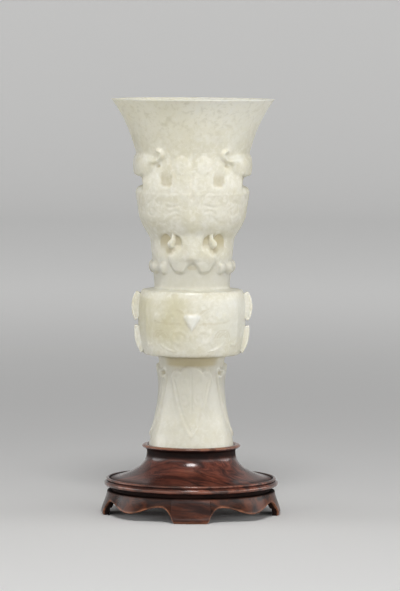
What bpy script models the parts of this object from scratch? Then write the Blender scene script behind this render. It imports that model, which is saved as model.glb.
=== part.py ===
"""A carved jade beaker vase, standing in the socket of its joined hardwood stand.

Metres, +Z up. The origin is on the floor, under the middle of the stand. The front of the carving
faces -Y and the back repeats it. An angle is measured from the front, positive towards +X. The vase
hangs on an empty where its foot sits, because it lifts straight up out of the stand.
"""

import math

import bmesh
import bpy
from mathutils import Matrix, Vector

MM = 0.001

# Fits and tolerances
SEAT_GAP = 0.3 * MM
SOCKET_CLEARANCE = 0.4 * MM
CUT_OVERRUN = 1.0 * MM
WELD = 0.001 * MM
SEAM_WELD = 0.01 * MM

# Stand, heights stacked from the floor up
LEG_HEIGHT = 12.1 * MM
WAIST_HEIGHT = 2.3 * MM
EDGE_HEIGHT = 3.8 * MM
SLOPE_HEIGHT = 12.8 * MM
STAND_NECK_HEIGHT = 1.8 * MM
LIP_THICKNESS = 2.4 * MM
SOCKET_DEPTH = 2.0 * MM

# Stand, across
EDGE_RADIUS = 43.7 * MM
EDGE_BEAD = 1.4 * MM
EDGE_STEP = 1.0 * MM
EDGE_FILLET = 1.5 * MM
WAIST_SETBACK = 3.7 * MM
LIP_WIDTH = 2.6 * MM
LIP_UNDERCUT = 2.4 * MM
UNDERSIDE_RIM = 6.5 * MM
UNDERSIDE_DEPTH = 7.0 * MM

# Legs and aprons
LEG_REVEAL = 2.0 * MM
LEG_FLARE = 3.0 * MM
LEG_WIDTH = 19.6 * MM
LEG_THICKNESS = 5.6 * MM
LEG_FOOT_THICKNESS = 3.2 * MM
LEG_BLOCK_HEIGHT = 4.9 * MM
LEG_TOE_HEIGHT = 2.2 * MM
LEG_TOE_DEPTH = 1.0 * MM
LEG_CORNER = 0.5 * MM
LEG_TAPER = 1.2 * MM
LEG_TAPER_HEIGHT = 3.4 * MM
APRON_THICKNESS = 4.0 * MM
APRON_LOBE_RISE = 3.7 * MM
APRON_ARCH_RISE = 8.3 * MM
APRON_ARCH_RUN = 5.4 * MM
TENON_WIDTH = 10.0 * MM
TENON_THICKNESS = 1.8 * MM
TENON_SETBACK = 1.6 * MM
TENON_LENGTH = 3.0 * MM
TONGUE_LENGTH = 1.5 * MM
TONGUE_THICKNESS = 1.6 * MM
TONGUE_HEIGHT = 3.4 * MM
TONGUE_DROP = 0.8 * MM

# Vase, lengths stacked from the foot up
FOOT_LENGTH = 46.5 * MM
DRUM_HEIGHT = 33.1 * MM
THROAT_LENGTH = 8.4 * MM
COLLAR_HEIGHT = 5.6 * MM
SNOUT_LENGTH = 11.1 * MM
MASK_HEIGHT = 25.9 * MM
MOUTH_LENGTH = 43.9 * MM

# Vase, outer radii
MOUTH_RADIUS = 40.9 * MM
NECK_RADIUS = 18.75 * MM
NECK_TAPER = 6.2 * MM
NECK_SWELL = 8.7 * MM
FLARE_POWER = 7
COLLAR_RELIEF = 1.9 * MM
MASK_RELIEF = 4.7 * MM
MASK_RAMP = 13.0 * MM
MASK_ROUND = 2.0 * MM
DRUM_RADIUS = 26.5 * MM
DRUM_BASE_RADIUS = 23.6 * MM
DRUM_CROWN = 1.0 * MM
DRUM_EDGE = 1.4 * MM
DRUM_EDGE_DROP = 3.0 * MM
STEM_RADIUS = 16.6 * MM
FOOT_WAIST_RADIUS = 15.9 * MM
FOOT_WAIST_DROP = 14.0 * MM
FOOT_RIM_RADIUS = 20.0 * MM
FOOT_RIM_HEIGHT = 7.5 * MM
FOOT_RADIUS = 21.6 * MM
FOOT_CHAMFER = 0.5 * MM

# Vase, hollows
LIP_WALL = 1.9 * MM
NECK_WALL = 4.4 * MM
BORE_DEPTH = 118.0 * MM
BORE_END_RADIUS = 12.0 * MM
FOOT_WALL = 5.5 * MM
FOOT_HOLLOW_DEPTH = 22.0 * MM
FOOT_HOLLOW_END_RADIUS = 11.0 * MM

# Carving on the neck: horned mask, front and back
HORN_GAP = 5.2 * MM
HORN_RADIUS = 3.4 * MM
HORN_LOBE_ANGLE = 79.5
HORN_CURL = 2.5 * MM
HORN_CURL_ANGLE = 42.0
HORN_CURL_LIFT = 0.6 * MM
PILLAR_RADIUS = 3.3 * MM
PILLAR_ANGLE = 47.0
BROW_HEIGHT = 18.5 * MM
BROW_HALF_WIDTH = 9.0 * MM
BROW_RELIEF = 1.5 * MM
EYE_RADIUS = 3.2 * MM
EYE_SPACING = 10.6 * MM
EYE_RISE = 11.0 * MM
SNOUT_HALF_WIDTH = 4.8 * MM
SNOUT_RELIEF = 1.6 * MM
LIP_LOBE_RADIUS = 3.9 * MM
FANG_RADIUS = 1.3 * MM
FANG_ANGLE = 25.5
FANG_HOOK_ANGLE = 7.0

# Fins on the drum and leaves on the foot
FIN_THICKNESS = 5.0 * MM
FIN_REACH = 3.8 * MM
FIN_ROOT = 2.5 * MM
FIN_SPLIT = 2.3 * MM
FIN_NOTCH = 1.0 * MM
FIN_TIP = 1.7 * MM
DRUM_BELT = 15.6 * MM
LEAF_RELIEF = 0.6 * MM
LEAF_ROOT = 1.0 * MM
LEAF_DROP = 5.0 * MM
LEAF_TIP_RISE = 0.5 * MM
LEAF_HALF_WIDTH = 8.2 * MM
LEAF_SHOULDER = 11.6 * MM

# Facets
TURNED_STEPS = 40
RING_STEPS = 72
CURVE_POINTS = 6
BOSS_SEGMENTS = 12
BOSS_RINGS = 7
LEAF_BENDS = (-0.45, 0.0, 0.45)
COLLAR_ARC = 72
SHARP_ANGLE = 35

# Places that follow from the sizes above
WAIST_RADIUS = EDGE_RADIUS - WAIST_SETBACK
EDGE_BASE = LEG_HEIGHT + WAIST_HEIGHT
EDGE_TOP = EDGE_BASE + EDGE_HEIGHT
SLOPE_TOP = EDGE_TOP + SLOPE_HEIGHT
LIP_BASE = SLOPE_TOP + STAND_NECK_HEIGHT
STAND_HEIGHT = LIP_BASE + LIP_THICKNESS
SOCKET_FLOOR = STAND_HEIGHT - SOCKET_DEPTH
SOCKET_RADIUS = FOOT_RADIUS + SOCKET_CLEARANCE
LIP_RADIUS = SOCKET_RADIUS + LIP_WIDTH
STAND_NECK_RADIUS = LIP_RADIUS - LIP_UNDERCUT
SLOPE_RADIUS = EDGE_RADIUS - EDGE_STEP - EDGE_FILLET
LEG_TOP = LEG_HEIGHT - SEAT_GAP
LEG_TOP_RADIUS = WAIST_RADIUS + LEG_REVEAL
LEG_FOOT_RADIUS = LEG_TOP_RADIUS + LEG_FLARE
LEG_HALF_WIDTH = LEG_WIDTH / 2
TENON_FACE = WAIST_RADIUS - TENON_SETBACK
TONGUE_RADIUS = LEG_TOP_RADIUS - APRON_THICKNESS / 2
TONGUE_PLACE = math.sqrt(TONGUE_RADIUS**2 - LEG_HALF_WIDTH**2)
TONGUE_TOP = LEG_TOP - TONGUE_DROP
TONGUE_BASE = TONGUE_TOP - TONGUE_HEIGHT

VASE_SEAT = SOCKET_FLOOR + SEAT_GAP
DRUM_BASE = FOOT_LENGTH
DRUM_TOP = DRUM_BASE + DRUM_HEIGHT
COLLAR_BASE = DRUM_TOP + THROAT_LENGTH
COLLAR_TOP = COLLAR_BASE + COLLAR_HEIGHT
MASK_BASE = COLLAR_TOP + SNOUT_LENGTH
MASK_TOP = MASK_BASE + MASK_HEIGHT
VASE_HEIGHT = MASK_TOP + MOUTH_LENGTH
FOOT_WAIST = FOOT_LENGTH - FOOT_WAIST_DROP

# Finishes: linear base colour, roughness, metallic
JADE = ("pale jade", (0.62, 0.60, 0.49), 0.28, 0.0)
TOP_WOOD = ("turned hardwood", (0.055, 0.016, 0.010), 0.26, 0.0)
LEG_WOOD = ("leg hardwood", (0.060, 0.018, 0.011), 0.30, 0.0)
APRON_WOOD = ("apron hardwood", (0.048, 0.014, 0.009), 0.30, 0.0)


def new_collection(name):
    """A collection in the scene."""
    collection = bpy.data.collections.new(name)
    bpy.context.scene.collection.children.link(collection)
    return collection


def new_material(name, colour, roughness, metallic):
    """A Principled material of one colour."""
    material = bpy.data.materials.new(name)
    material.use_nodes = True
    shader = material.node_tree.nodes["Principled BSDF"]
    shader.inputs["Base Color"].default_value = (*colour, 1.0)
    shader.inputs["Roughness"].default_value = roughness
    shader.inputs["Metallic"].default_value = metallic
    return material


def new_object(name, data, collection):
    """An object in one collection."""
    obj = bpy.data.objects.new(name, data)
    collection.objects.link(obj)
    return obj


def as_tool(obj):
    """Marks an object as a shape that only cuts, joins or guides others."""
    obj.hide_render = True
    obj.display_type = "WIRE"
    return obj


def evaluated_mesh(obj):
    """The mesh that an object's curve or modifiers give, welded."""
    bpy.context.view_layer.update()
    depsgraph = bpy.context.evaluated_depsgraph_get()
    mesh = bpy.data.meshes.new_from_object(obj.evaluated_get(depsgraph))
    edit = bmesh.new()
    edit.from_mesh(mesh)
    bmesh.ops.remove_doubles(edit, verts=edit.verts, dist=WELD)
    bmesh.ops.recalc_face_normals(edit, faces=edit.faces)
    edit.to_mesh(mesh)
    edit.free()
    return mesh


def to_mesh(obj, collection):
    """Replaces a curve or a piece with modifiers by a plain mesh object in the same place."""
    name = obj.name
    mesh = evaluated_mesh(obj)
    place = obj.matrix_world.copy()
    bpy.data.objects.remove(obj)
    solid = new_object(name, mesh, collection)
    solid.matrix_world = place
    return solid


def polar(angle, radius, height):
    """Point at an angle from the front, in degrees, a radius and a height."""
    turn = math.radians(angle)
    return Vector((radius * math.sin(turn), -radius * math.cos(turn), height))


def bezier(start, lead, trail, end, count=CURVE_POINTS):
    """Points of a cubic curve after its start, ending at its end."""
    points = []
    for index in range(1, count + 1):
        t = index / count
        u = 1 - t
        weights = (u**3, 3 * u * u * t, 3 * u * t * t, t**3)
        controls = (start, lead, trail, end)
        points.append(tuple(sum(w * c[i] for w, c in zip(weights, controls)) for i in range(2)))
    return points


def quarter(centre, width, height, start_angle, end_angle, count=3):
    """Points of an elliptic arc after its start, by angles in degrees."""
    points = []
    for index in range(1, count + 1):
        turn = math.radians(start_angle + (end_angle - start_angle) * index / count)
        points.append((centre[0] + width * math.cos(turn), centre[1] + height * math.sin(turn)))
    return points


def smooth_path(points, per_span=2):
    """Points on a smooth curve through the given ones, by the Catmull-Rom rule."""
    ends = [points[0], *points, points[-1]]
    path = []
    for before, start, end, after in zip(ends, ends[1:], ends[2:], ends[3:]):
        for step in range(per_span):
            t = step / per_span
            path.append(
                tuple(
                    0.5 * (2 * b + (c - a) * t + (2 * a - 5 * b + 4 * c - d) * t * t
                           + (3 * b - a - 3 * c + d) * t**3)
                    for a, b, c, d in zip(before, start, end, after)
                )
            )
    path.append(tuple(points[-1]))
    return path


def turned(name, profile, collection, closed=False, steps=TURNED_STEPS):
    """Solid of revolution from a profile of (radius, height) that runs down its outer side, with the
    middle of a facet to the front."""
    mesh = bpy.data.meshes.new(name)
    edges = [(i, i + 1) for i in range(len(profile) - 1)]
    if closed:
        edges.append((len(profile) - 1, 0))
    mesh.from_pydata([(radius, 0, height) for radius, height in profile], edges, [])
    obj = new_object(name, mesh, collection)
    obj.rotation_euler.z = math.pi / steps
    screw = obj.modifiers.new("turn", "SCREW")
    screw.steps = steps
    screw.render_steps = steps
    screw.use_merge_vertices = True
    screw.merge_threshold = SEAM_WELD
    solid = to_mesh(obj, collection)
    solid.data.transform(solid.matrix_world)
    solid.matrix_world = Matrix.Identity(4)
    return solid


def outline_plate(name, points, half_thickness, collection):
    """Flat plate in X and Y from a closed outline, with its thickness along Z."""
    curve = bpy.data.curves.new(name, "CURVE")
    curve.dimensions = "2D"
    curve.fill_mode = "BOTH"
    curve.extrude = half_thickness
    spline = curve.splines.new("POLY")
    spline.points.add(len(points) - 1)
    for point, (x, y) in zip(spline.points, points):
        point.co = (x, y, 0, 1)
    spline.use_cyclic_u = True
    return to_mesh(new_object(name, curve, collection), collection)


def tube(name, path, collection, resolution=2):
    """Round bar along a path of (position, radius), with filled ends."""
    largest = max(radius for _, radius in path)
    curve = bpy.data.curves.new(name, "CURVE")
    curve.dimensions = "3D"
    curve.bevel_depth = largest
    curve.bevel_resolution = resolution
    curve.use_fill_caps = True
    spline = curve.splines.new("POLY")
    spline.points.add(len(path) - 1)
    for point, (position, radius) in zip(spline.points, path):
        point.co = (*position, 1)
        point.radius = radius / largest
    return to_mesh(new_object(name, curve, collection), collection)


def block(name, low, high, collection):
    """Box between two corners."""
    edit = bmesh.new()
    bmesh.ops.create_cube(edit, size=1.0)
    low = Vector(low)
    high = Vector(high)
    shape = Matrix.Diagonal((*(high - low), 1))
    place = Matrix.Translation((low + high) / 2)
    bmesh.ops.transform(edit, matrix=place @ shape, verts=edit.verts)
    mesh = bpy.data.meshes.new(name)
    edit.to_mesh(mesh)
    edit.free()
    return new_object(name, mesh, collection)


def boss(name, place, radii, collection):
    """Ellipsoid at a place (angle, radius, height), its first radius pointing out of the axis."""
    edit = bmesh.new()
    bmesh.ops.create_uvsphere(edit, u_segments=BOSS_SEGMENTS, v_segments=BOSS_RINGS, radius=1.0)
    outward, sideways, upward = radii
    shape = Matrix.Diagonal((sideways, outward, upward, 1))
    turn = Matrix.Rotation(math.radians(place[0]), 4, "Z")
    bmesh.ops.transform(edit, matrix=Matrix.Translation(polar(*place)) @ turn @ shape, verts=edit.verts)
    mesh = bpy.data.meshes.new(name)
    edit.to_mesh(mesh)
    edit.free()
    return new_object(name, mesh, collection)


def boolean(obj, operation, tool):
    """Joins or cuts an object with a tool, which may be a collection of tools."""
    modifier = obj.modifiers.new(operation.lower(), "BOOLEAN")
    modifier.operation = operation
    modifier.solver = "EXACT"
    if isinstance(tool, bpy.types.Collection):
        modifier.operand_type = "COLLECTION"
        modifier.collection = tool
    else:
        modifier.object = tool


def wrap_plate(obj, angle, reach, surface, relief, root, slices, levels):
    """Bends a flat plate round the vase: X becomes an angle at radius reach, Y a height, and its two
    faces stand relief above the surface and root below it."""
    edit = bmesh.new()
    edit.from_mesh(obj.data)
    for axis, places in ((Vector((1, 0, 0)), slices), (Vector((0, 1, 0)), levels)):
        for place in places:
            geometry = edit.verts[:] + edit.edges[:] + edit.faces[:]
            bmesh.ops.bisect_plane(edit, geom=geometry, dist=WELD, plane_co=axis * place, plane_no=axis)
    for vert in edit.verts:
        offset = relief if vert.co.z > 0 else -root
        turn = angle + math.degrees(vert.co.x / reach)
        vert.co = polar(turn, surface(vert.co.y) + offset, vert.co.y)
    bmesh.ops.triangulate(edit, faces=edit.faces)
    bmesh.ops.recalc_face_normals(edit, faces=edit.faces)
    edit.to_mesh(obj.data)
    edit.free()


def neck_radius(height):
    """Outer radius of the bare trumpet from the drum up to the mouth."""
    t = (height - DRUM_TOP) / (VASE_HEIGHT - DRUM_TOP)
    flare = MOUTH_RADIUS - NECK_RADIUS - NECK_TAPER - NECK_SWELL
    return NECK_RADIUS + NECK_TAPER * t + NECK_SWELL * t * t + flare * t**FLARE_POWER


def mask_radius(height):
    """Outer radius of the mask's swelling, which rises out of the neck by a quarter sine."""
    rise = min(1.0, (height - MASK_BASE) / MASK_RAMP)
    return neck_radius(height) + MASK_RELIEF * math.sin(math.pi / 2 * rise)


def foot_radius(height):
    """Outer radius of the foot: two parabolas that meet at its waist, and a straight rim."""
    if height > FOOT_WAIST:
        share = (height - FOOT_WAIST) / FOOT_WAIST_DROP
        return FOOT_WAIST_RADIUS + (STEM_RADIUS - FOOT_WAIST_RADIUS) * share**2
    if height > FOOT_RIM_HEIGHT:
        share = (FOOT_WAIST - height) / (FOOT_WAIST - FOOT_RIM_HEIGHT)
        return FOOT_WAIST_RADIUS + (FOOT_RIM_RADIUS - FOOT_WAIST_RADIUS) * share**2
    return FOOT_RADIUS + (FOOT_RIM_RADIUS - FOOT_RADIUS) * height / FOOT_RIM_HEIGHT


def heights(top, bottom, count):
    """Evenly spaced heights after the top, ending at the bottom."""
    return [top + (bottom - top) * (i + 1) / count for i in range(count)]


def vase_profile():
    """Half section of the vase: up the bore, over the lip, down the outside, up into the foot."""
    bore_floor = VASE_HEIGHT - BORE_DEPTH
    bore_bottom = (BORE_END_RADIUS, bore_floor + BORE_END_RADIUS / 2)
    profile = [(0, bore_floor)]
    profile += quarter((0, bore_bottom[1]), BORE_END_RADIUS, BORE_END_RADIUS / 2, -90, 0)
    profile.append((neck_radius(DRUM_TOP) - NECK_WALL, DRUM_TOP))
    bore_top = MASK_TOP + MOUTH_LENGTH / 2
    for height in heights(DRUM_TOP, bore_top, 3):
        profile.append((neck_radius(height) - NECK_WALL, height))
    for height in heights(bore_top, VASE_HEIGHT, 4):
        wall = LIP_WALL + (NECK_WALL - LIP_WALL) * (VASE_HEIGHT - height) / (VASE_HEIGHT - bore_top)
        profile.append((neck_radius(height) - wall, height))
    profile.append((MOUTH_RADIUS - LIP_WALL * 0.25, VASE_HEIGHT))
    profile.append((MOUTH_RADIUS, VASE_HEIGHT - LIP_WALL * 0.35))
    flare_base = VASE_HEIGHT - MOUTH_LENGTH / 2
    profile += [(neck_radius(z), z) for z in heights(VASE_HEIGHT - LIP_WALL, flare_base, 5)]
    profile += [(neck_radius(z), z) for z in heights(flare_base, MASK_TOP, 2)]
    shoulder = MASK_TOP - MASK_ROUND
    crown = (mask_radius(shoulder) - MASK_ROUND, shoulder)
    profile.append((crown[0], MASK_TOP))
    profile += quarter(crown, MASK_ROUND, MASK_ROUND, 90, 0)
    profile += [(mask_radius(z), z) for z in heights(shoulder, MASK_BASE, 6)]
    profile.append((neck_radius(COLLAR_TOP), COLLAR_TOP))
    middle = (COLLAR_BASE + COLLAR_TOP) / 2
    ring = neck_radius(middle)
    profile += quarter((ring, middle), COLLAR_RELIEF, COLLAR_HEIGHT / 2, COLLAR_ARC, -COLLAR_ARC, 4)
    profile.append((neck_radius(COLLAR_BASE), COLLAR_BASE))
    profile.append((NECK_RADIUS, DRUM_TOP))
    edge = (DRUM_RADIUS - DRUM_EDGE, DRUM_TOP - DRUM_CROWN - DRUM_EDGE_DROP)
    profile.append((edge[0], DRUM_TOP - DRUM_CROWN))
    profile += quarter(edge, DRUM_EDGE, DRUM_EDGE_DROP, 90, 0)
    base = DRUM_BASE + DRUM_CROWN
    side = edge[1] - base
    profile += bezier(
        (DRUM_RADIUS, edge[1]),
        (DRUM_RADIUS, edge[1] - side * 0.45),
        (DRUM_RADIUS, base + side * 0.35),
        (DRUM_BASE_RADIUS, base),
    )
    profile.append((DRUM_BASE_RADIUS - DRUM_CROWN, DRUM_BASE))
    profile.append((STEM_RADIUS, DRUM_BASE))
    profile += [(foot_radius(z), z) for z in heights(DRUM_BASE, FOOT_RIM_HEIGHT, 6)]
    profile.append((FOOT_RADIUS, FOOT_CHAMFER))
    profile.append((FOOT_RADIUS - FOOT_CHAMFER, 0))
    profile.append((FOOT_RADIUS - FOOT_WALL, 0))
    crown_base = FOOT_HOLLOW_DEPTH - FOOT_HOLLOW_END_RADIUS / 3
    profile.append((FOOT_HOLLOW_END_RADIUS, crown_base))
    profile += quarter((0, crown_base), FOOT_HOLLOW_END_RADIUS, FOOT_HOLLOW_END_RADIUS / 3, 0, 90)
    return profile


def horn_route():
    """Centre line of a horn as (angle, height, radius): up the outer lobe, over, in, and round a curl."""
    base = MASK_TOP + HORN_GAP
    level = base + 2.1 * HORN_RADIUS
    curl = (HORN_CURL_ANGLE, level + HORN_CURL + HORN_CURL_LIFT)
    span = HORN_LOBE_ANGLE - HORN_CURL_ANGLE
    per_degree = math.radians(neck_radius(level))
    route = [
        (HORN_LOBE_ANGLE, base, HORN_RADIUS),
        (HORN_LOBE_ANGLE, base + 1.3 * HORN_RADIUS, HORN_RADIUS),
        (HORN_LOBE_ANGLE - 0.17 * span, level + 0.3 * HORN_RADIUS, HORN_RADIUS),
        (HORN_CURL_ANGLE + 0.4 * span, level + 0.1 * HORN_RADIUS, 0.75 * HORN_RADIUS),
    ]
    for turn, share in ((-90, 0.5), (-165, 0.42), (-240, 0.36), (-315, 0.3)):
        around = math.radians(turn)
        angle = curl[0] + HORN_CURL * math.cos(around) / per_degree
        route.append((angle, curl[1] + HORN_CURL * math.sin(around), share * HORN_RADIUS))
    return route


def fang_route():
    """Centre line of a curled fang below the mask, as (angle, height, radius)."""
    top = MASK_BASE + 0.2 * SNOUT_LENGTH
    return [
        (FANG_ANGLE, top, FANG_RADIUS),
        (FANG_ANGLE - 0.28 * FANG_HOOK_ANGLE, top - 0.22 * SNOUT_LENGTH, FANG_RADIUS),
        (FANG_ANGLE - 0.07 * FANG_HOOK_ANGLE, top - 0.44 * SNOUT_LENGTH, FANG_RADIUS),
        (FANG_ANGLE + 0.5 * FANG_HOOK_ANGLE, top - 0.54 * SNOUT_LENGTH, FANG_RADIUS),
        (FANG_ANGLE + FANG_HOOK_ANGLE, top - 0.43 * SNOUT_LENGTH, 1.2 * FANG_RADIUS),
    ]


def surface_tube(name, route, turn, lift, collection, resolution=2):
    """Round bar that follows a route over the neck, its centre line lifted off it. The turn is the
    facing angle and the side, 1 or -1, on which the route's angles are laid."""
    facing, side = turn
    path = []
    for angle, height, radius in smooth_path(route):
        path.append((polar(facing + side * angle, neck_radius(height) + lift, height), radius))
    return tube(name, path, collection, resolution)


def brow_outline():
    """Flat outline of the raised brow: straight sides and a rounded top."""
    top = MASK_TOP + BROW_HEIGHT
    spring = top - 0.4 * BROW_HEIGHT
    right = [(BROW_HALF_WIDTH, MASK_TOP - MASK_ROUND), (BROW_HALF_WIDTH, spring)]
    right += quarter((0, spring), BROW_HALF_WIDTH, top - spring, 0, 90, 4)
    return right + [(-x, y) for x, y in reversed(right[:-1])]


def snout_outline():
    """Flat outline of the snout: a bridge that spreads down to two nostril corners."""
    low = COLLAR_TOP - 0.2 * COLLAR_HEIGHT
    bridge = (0.45 * SNOUT_HALF_WIDTH, MASK_TOP - MASK_ROUND / 2)
    flank = (0.6 * SNOUT_HALF_WIDTH, MASK_BASE + MASK_RAMP)
    right = [(SNOUT_HALF_WIDTH, low)]
    right += bezier(right[0], (1.1 * SNOUT_HALF_WIDTH, MASK_BASE), (flank[0], MASK_BASE), flank, 4)
    right.append(bridge)
    return right + [(-x, y) for x, y in reversed(right)]


def face_radius(height):
    """Outer radius of the neck under the mask's features, with the mask's swelling."""
    return mask_radius(height) if height > MASK_BASE else neck_radius(height)


def carve_masks(collection):
    """Horned animal masks, front and back: brow, eyes, snout, lip lobes, horns and fangs."""
    eye_height = MASK_TOP + EYE_RISE
    lip_height = (COLLAR_BASE + COLLAR_TOP) / 2
    levels = heights(MASK_TOP - MASK_ROUND, MASK_TOP + BROW_HEIGHT, 4)[:-1]
    for facing, face in ((0, "front"), (180, "back")):
        brow = outline_plate(f"brow {face}", brow_outline(), BROW_RELIEF, collection)
        reach = neck_radius(MASK_TOP)
        slices = (-BROW_HALF_WIDTH / 3, BROW_HALF_WIDTH / 3)
        wrap_plate(brow, facing, reach, neck_radius, BROW_RELIEF, NECK_WALL / 2, slices, levels)
        snout = outline_plate(f"snout {face}", snout_outline(), SNOUT_RELIEF, collection)
        bends = heights(MASK_TOP - MASK_ROUND, MASK_BASE, 5)
        reach = neck_radius(MASK_BASE)
        wrap_plate(snout, facing, reach, face_radius, SNOUT_RELIEF, NECK_WALL / 3, (), bends)
        for side in (-1, 1):
            eye_angle = facing + side * math.degrees(EYE_SPACING / 2 / neck_radius(eye_height))
            eye_place = (eye_angle, neck_radius(eye_height) + BROW_RELIEF, eye_height)
            boss(f"eye {face} {side}", eye_place, (0.4 * EYE_RADIUS, EYE_RADIUS, EYE_RADIUS), collection)
            lobe_angle = facing + side * math.degrees(LIP_LOBE_RADIUS * 1.3 / neck_radius(lip_height))
            lobe_place = (lobe_angle, neck_radius(lip_height), lip_height + 0.1 * COLLAR_HEIGHT)
            lobe_radii = (1.5 * COLLAR_RELIEF, LIP_LOBE_RADIUS, 0.55 * COLLAR_HEIGHT)
            boss(f"lip lobe {face} {side}", lobe_place, lobe_radii, collection)
            turn = (facing, side)
            pillar = [
                (PILLAR_ANGLE, MASK_TOP - MASK_ROUND, PILLAR_RADIUS),
                (PILLAR_ANGLE, MASK_TOP + HORN_GAP + 1.5 * HORN_RADIUS, PILLAR_RADIUS),
            ]
            surface_tube(f"horn {face} {side}", horn_route(), turn, 0.1 * HORN_RADIUS, collection)
            surface_tube(f"pillar {face} {side}", pillar, turn, -0.2 * PILLAR_RADIUS, collection, 1)
            surface_tube(f"fang {face} {side}", fang_route(), turn, 0.8 * FANG_RADIUS, collection, 1)


def fin_outline(root, top_notch, top_tip, reach, low_tip, low_notch):
    """Outline of one fin in radius and height: a bowed back between two pointed ends, each parted from
    the drum by a notch. The back's middle stands at radius reach."""
    bow = (8 * reach - top_tip[0] - low_tip[0]) / 6
    fall = top_tip[1] - low_tip[1]
    back = bezier(top_tip, (bow, top_tip[1] - 0.25 * fall), (bow, low_tip[1] + 0.3 * fall), low_tip, 7)
    return [(root, low_notch[1]), (root, top_notch[1]), top_notch, top_tip, *back, low_notch]


def fin_outlines():
    """Outlines of the upper and lower fin on one side of the drum."""
    reach = DRUM_RADIUS + FIN_REACH
    top = DRUM_TOP - DRUM_CROWN
    middle = DRUM_BASE + DRUM_BELT
    low = DRUM_BASE + DRUM_CROWN / 2
    inner = DRUM_RADIUS - FIN_NOTCH / 2
    upper = fin_outline(
        DRUM_RADIUS - FIN_ROOT,
        (inner, top - 2 * FIN_NOTCH),
        (inner + FIN_TIP, top - FIN_NOTCH / 2),
        reach,
        (inner + 1.4 * FIN_TIP, middle + FIN_SPLIT / 2),
        (inner, middle + FIN_SPLIT / 2 + FIN_NOTCH),
    )
    lower = fin_outline(
        DRUM_BASE_RADIUS - FIN_ROOT,
        (inner, middle - FIN_SPLIT / 2 - FIN_NOTCH / 2),
        (inner + 1.2 * FIN_TIP, middle - FIN_SPLIT / 2),
        reach - FIN_NOTCH,
        (DRUM_BASE_RADIUS + FIN_TIP, low),
        (DRUM_BASE_RADIUS, low + 2 * FIN_NOTCH),
    )
    return {"upper": upper, "lower": lower}


def carve_fins(collection):
    """Hooked fins on the left and right of the drum, each cut from a flat outline."""
    upright = Matrix.Rotation(math.pi / 2, 4, "X")
    for name, outline in fin_outlines().items():
        for side, turn in (("right", 0), ("left", 180)):
            fin = outline_plate(f"{name} fin {side}", outline, FIN_THICKNESS / 2, collection)
            fin.data.transform(Matrix.Rotation(math.radians(turn), 4, "Z") @ upright)


def leaf_outline():
    """Outline of a pendent leaf: a pointed blade under a shoulder with a cloud-shaped top."""
    tip = (0, FOOT_RIM_HEIGHT + LEAF_TIP_RISE)
    top = FOOT_LENGTH - LEAF_DROP
    blade = (LEAF_HALF_WIDTH, 0.5 * (tip[1] + top))
    shoulder = (LEAF_SHOULDER, top - 0.14 * FOOT_LENGTH)
    cusp = (0.55 * LEAF_SHOULDER, top - 0.05 * FOOT_LENGTH)
    length = blade[1] - tip[1]
    bend = 0.08 * FOOT_LENGTH
    belly = (0.9 * blade[0], tip[1] + 0.5 * length)
    half = bezier(tip, (0.4 * blade[0], tip[1] + 0.2 * length), belly, blade, 4)
    hip = (0.8 * shoulder[0], shoulder[1] - bend)
    half += bezier(blade, (1.1 * blade[0], blade[1] + bend), hip, shoulder, 2)
    half += bezier(shoulder, (1.05 * shoulder[0], top), (0.75 * shoulder[0], top), cusp, 3)
    half += bezier(cusp, (0.5 * shoulder[0], top), (0.2 * shoulder[0], top), (0, top), 2)
    mirrored = [(-x, y) for x, y in reversed(half[:-1])]
    return [tip] + half + mirrored


def carve_leaves(collection):
    """Four pendent leaves round the foot, standing a little proud of it."""
    top = FOOT_LENGTH - LEAF_DROP
    slices = [LEAF_SHOULDER * share for share in LEAF_BENDS]
    levels = heights(top, FOOT_RIM_HEIGHT, 4)[:-1]
    for angle in (0, 90, 180, 270):
        leaf = outline_plate(f"leaf {angle}", leaf_outline(), LEAF_RELIEF, collection)
        wrap_plate(leaf, angle, FOOT_WAIST_RADIUS, foot_radius, LEAF_RELIEF, LEAF_ROOT, slices, levels)


def build_vase(parts, tools, relief):
    """The vase: a turned, hollowed stone with its carving joined on."""
    axis = new_object("vase_axis", None, tools)
    axis.location = (0, 0, VASE_SEAT)
    vase = turned("jade_vase", vase_profile(), parts)
    carve_masks(relief)
    carve_fins(relief)
    carve_leaves(relief)
    vase.parent = axis
    for tool in relief.objects:
        as_tool(tool)
        tool.parent = axis
    boolean(vase, "UNION", relief)
    return vase


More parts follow.
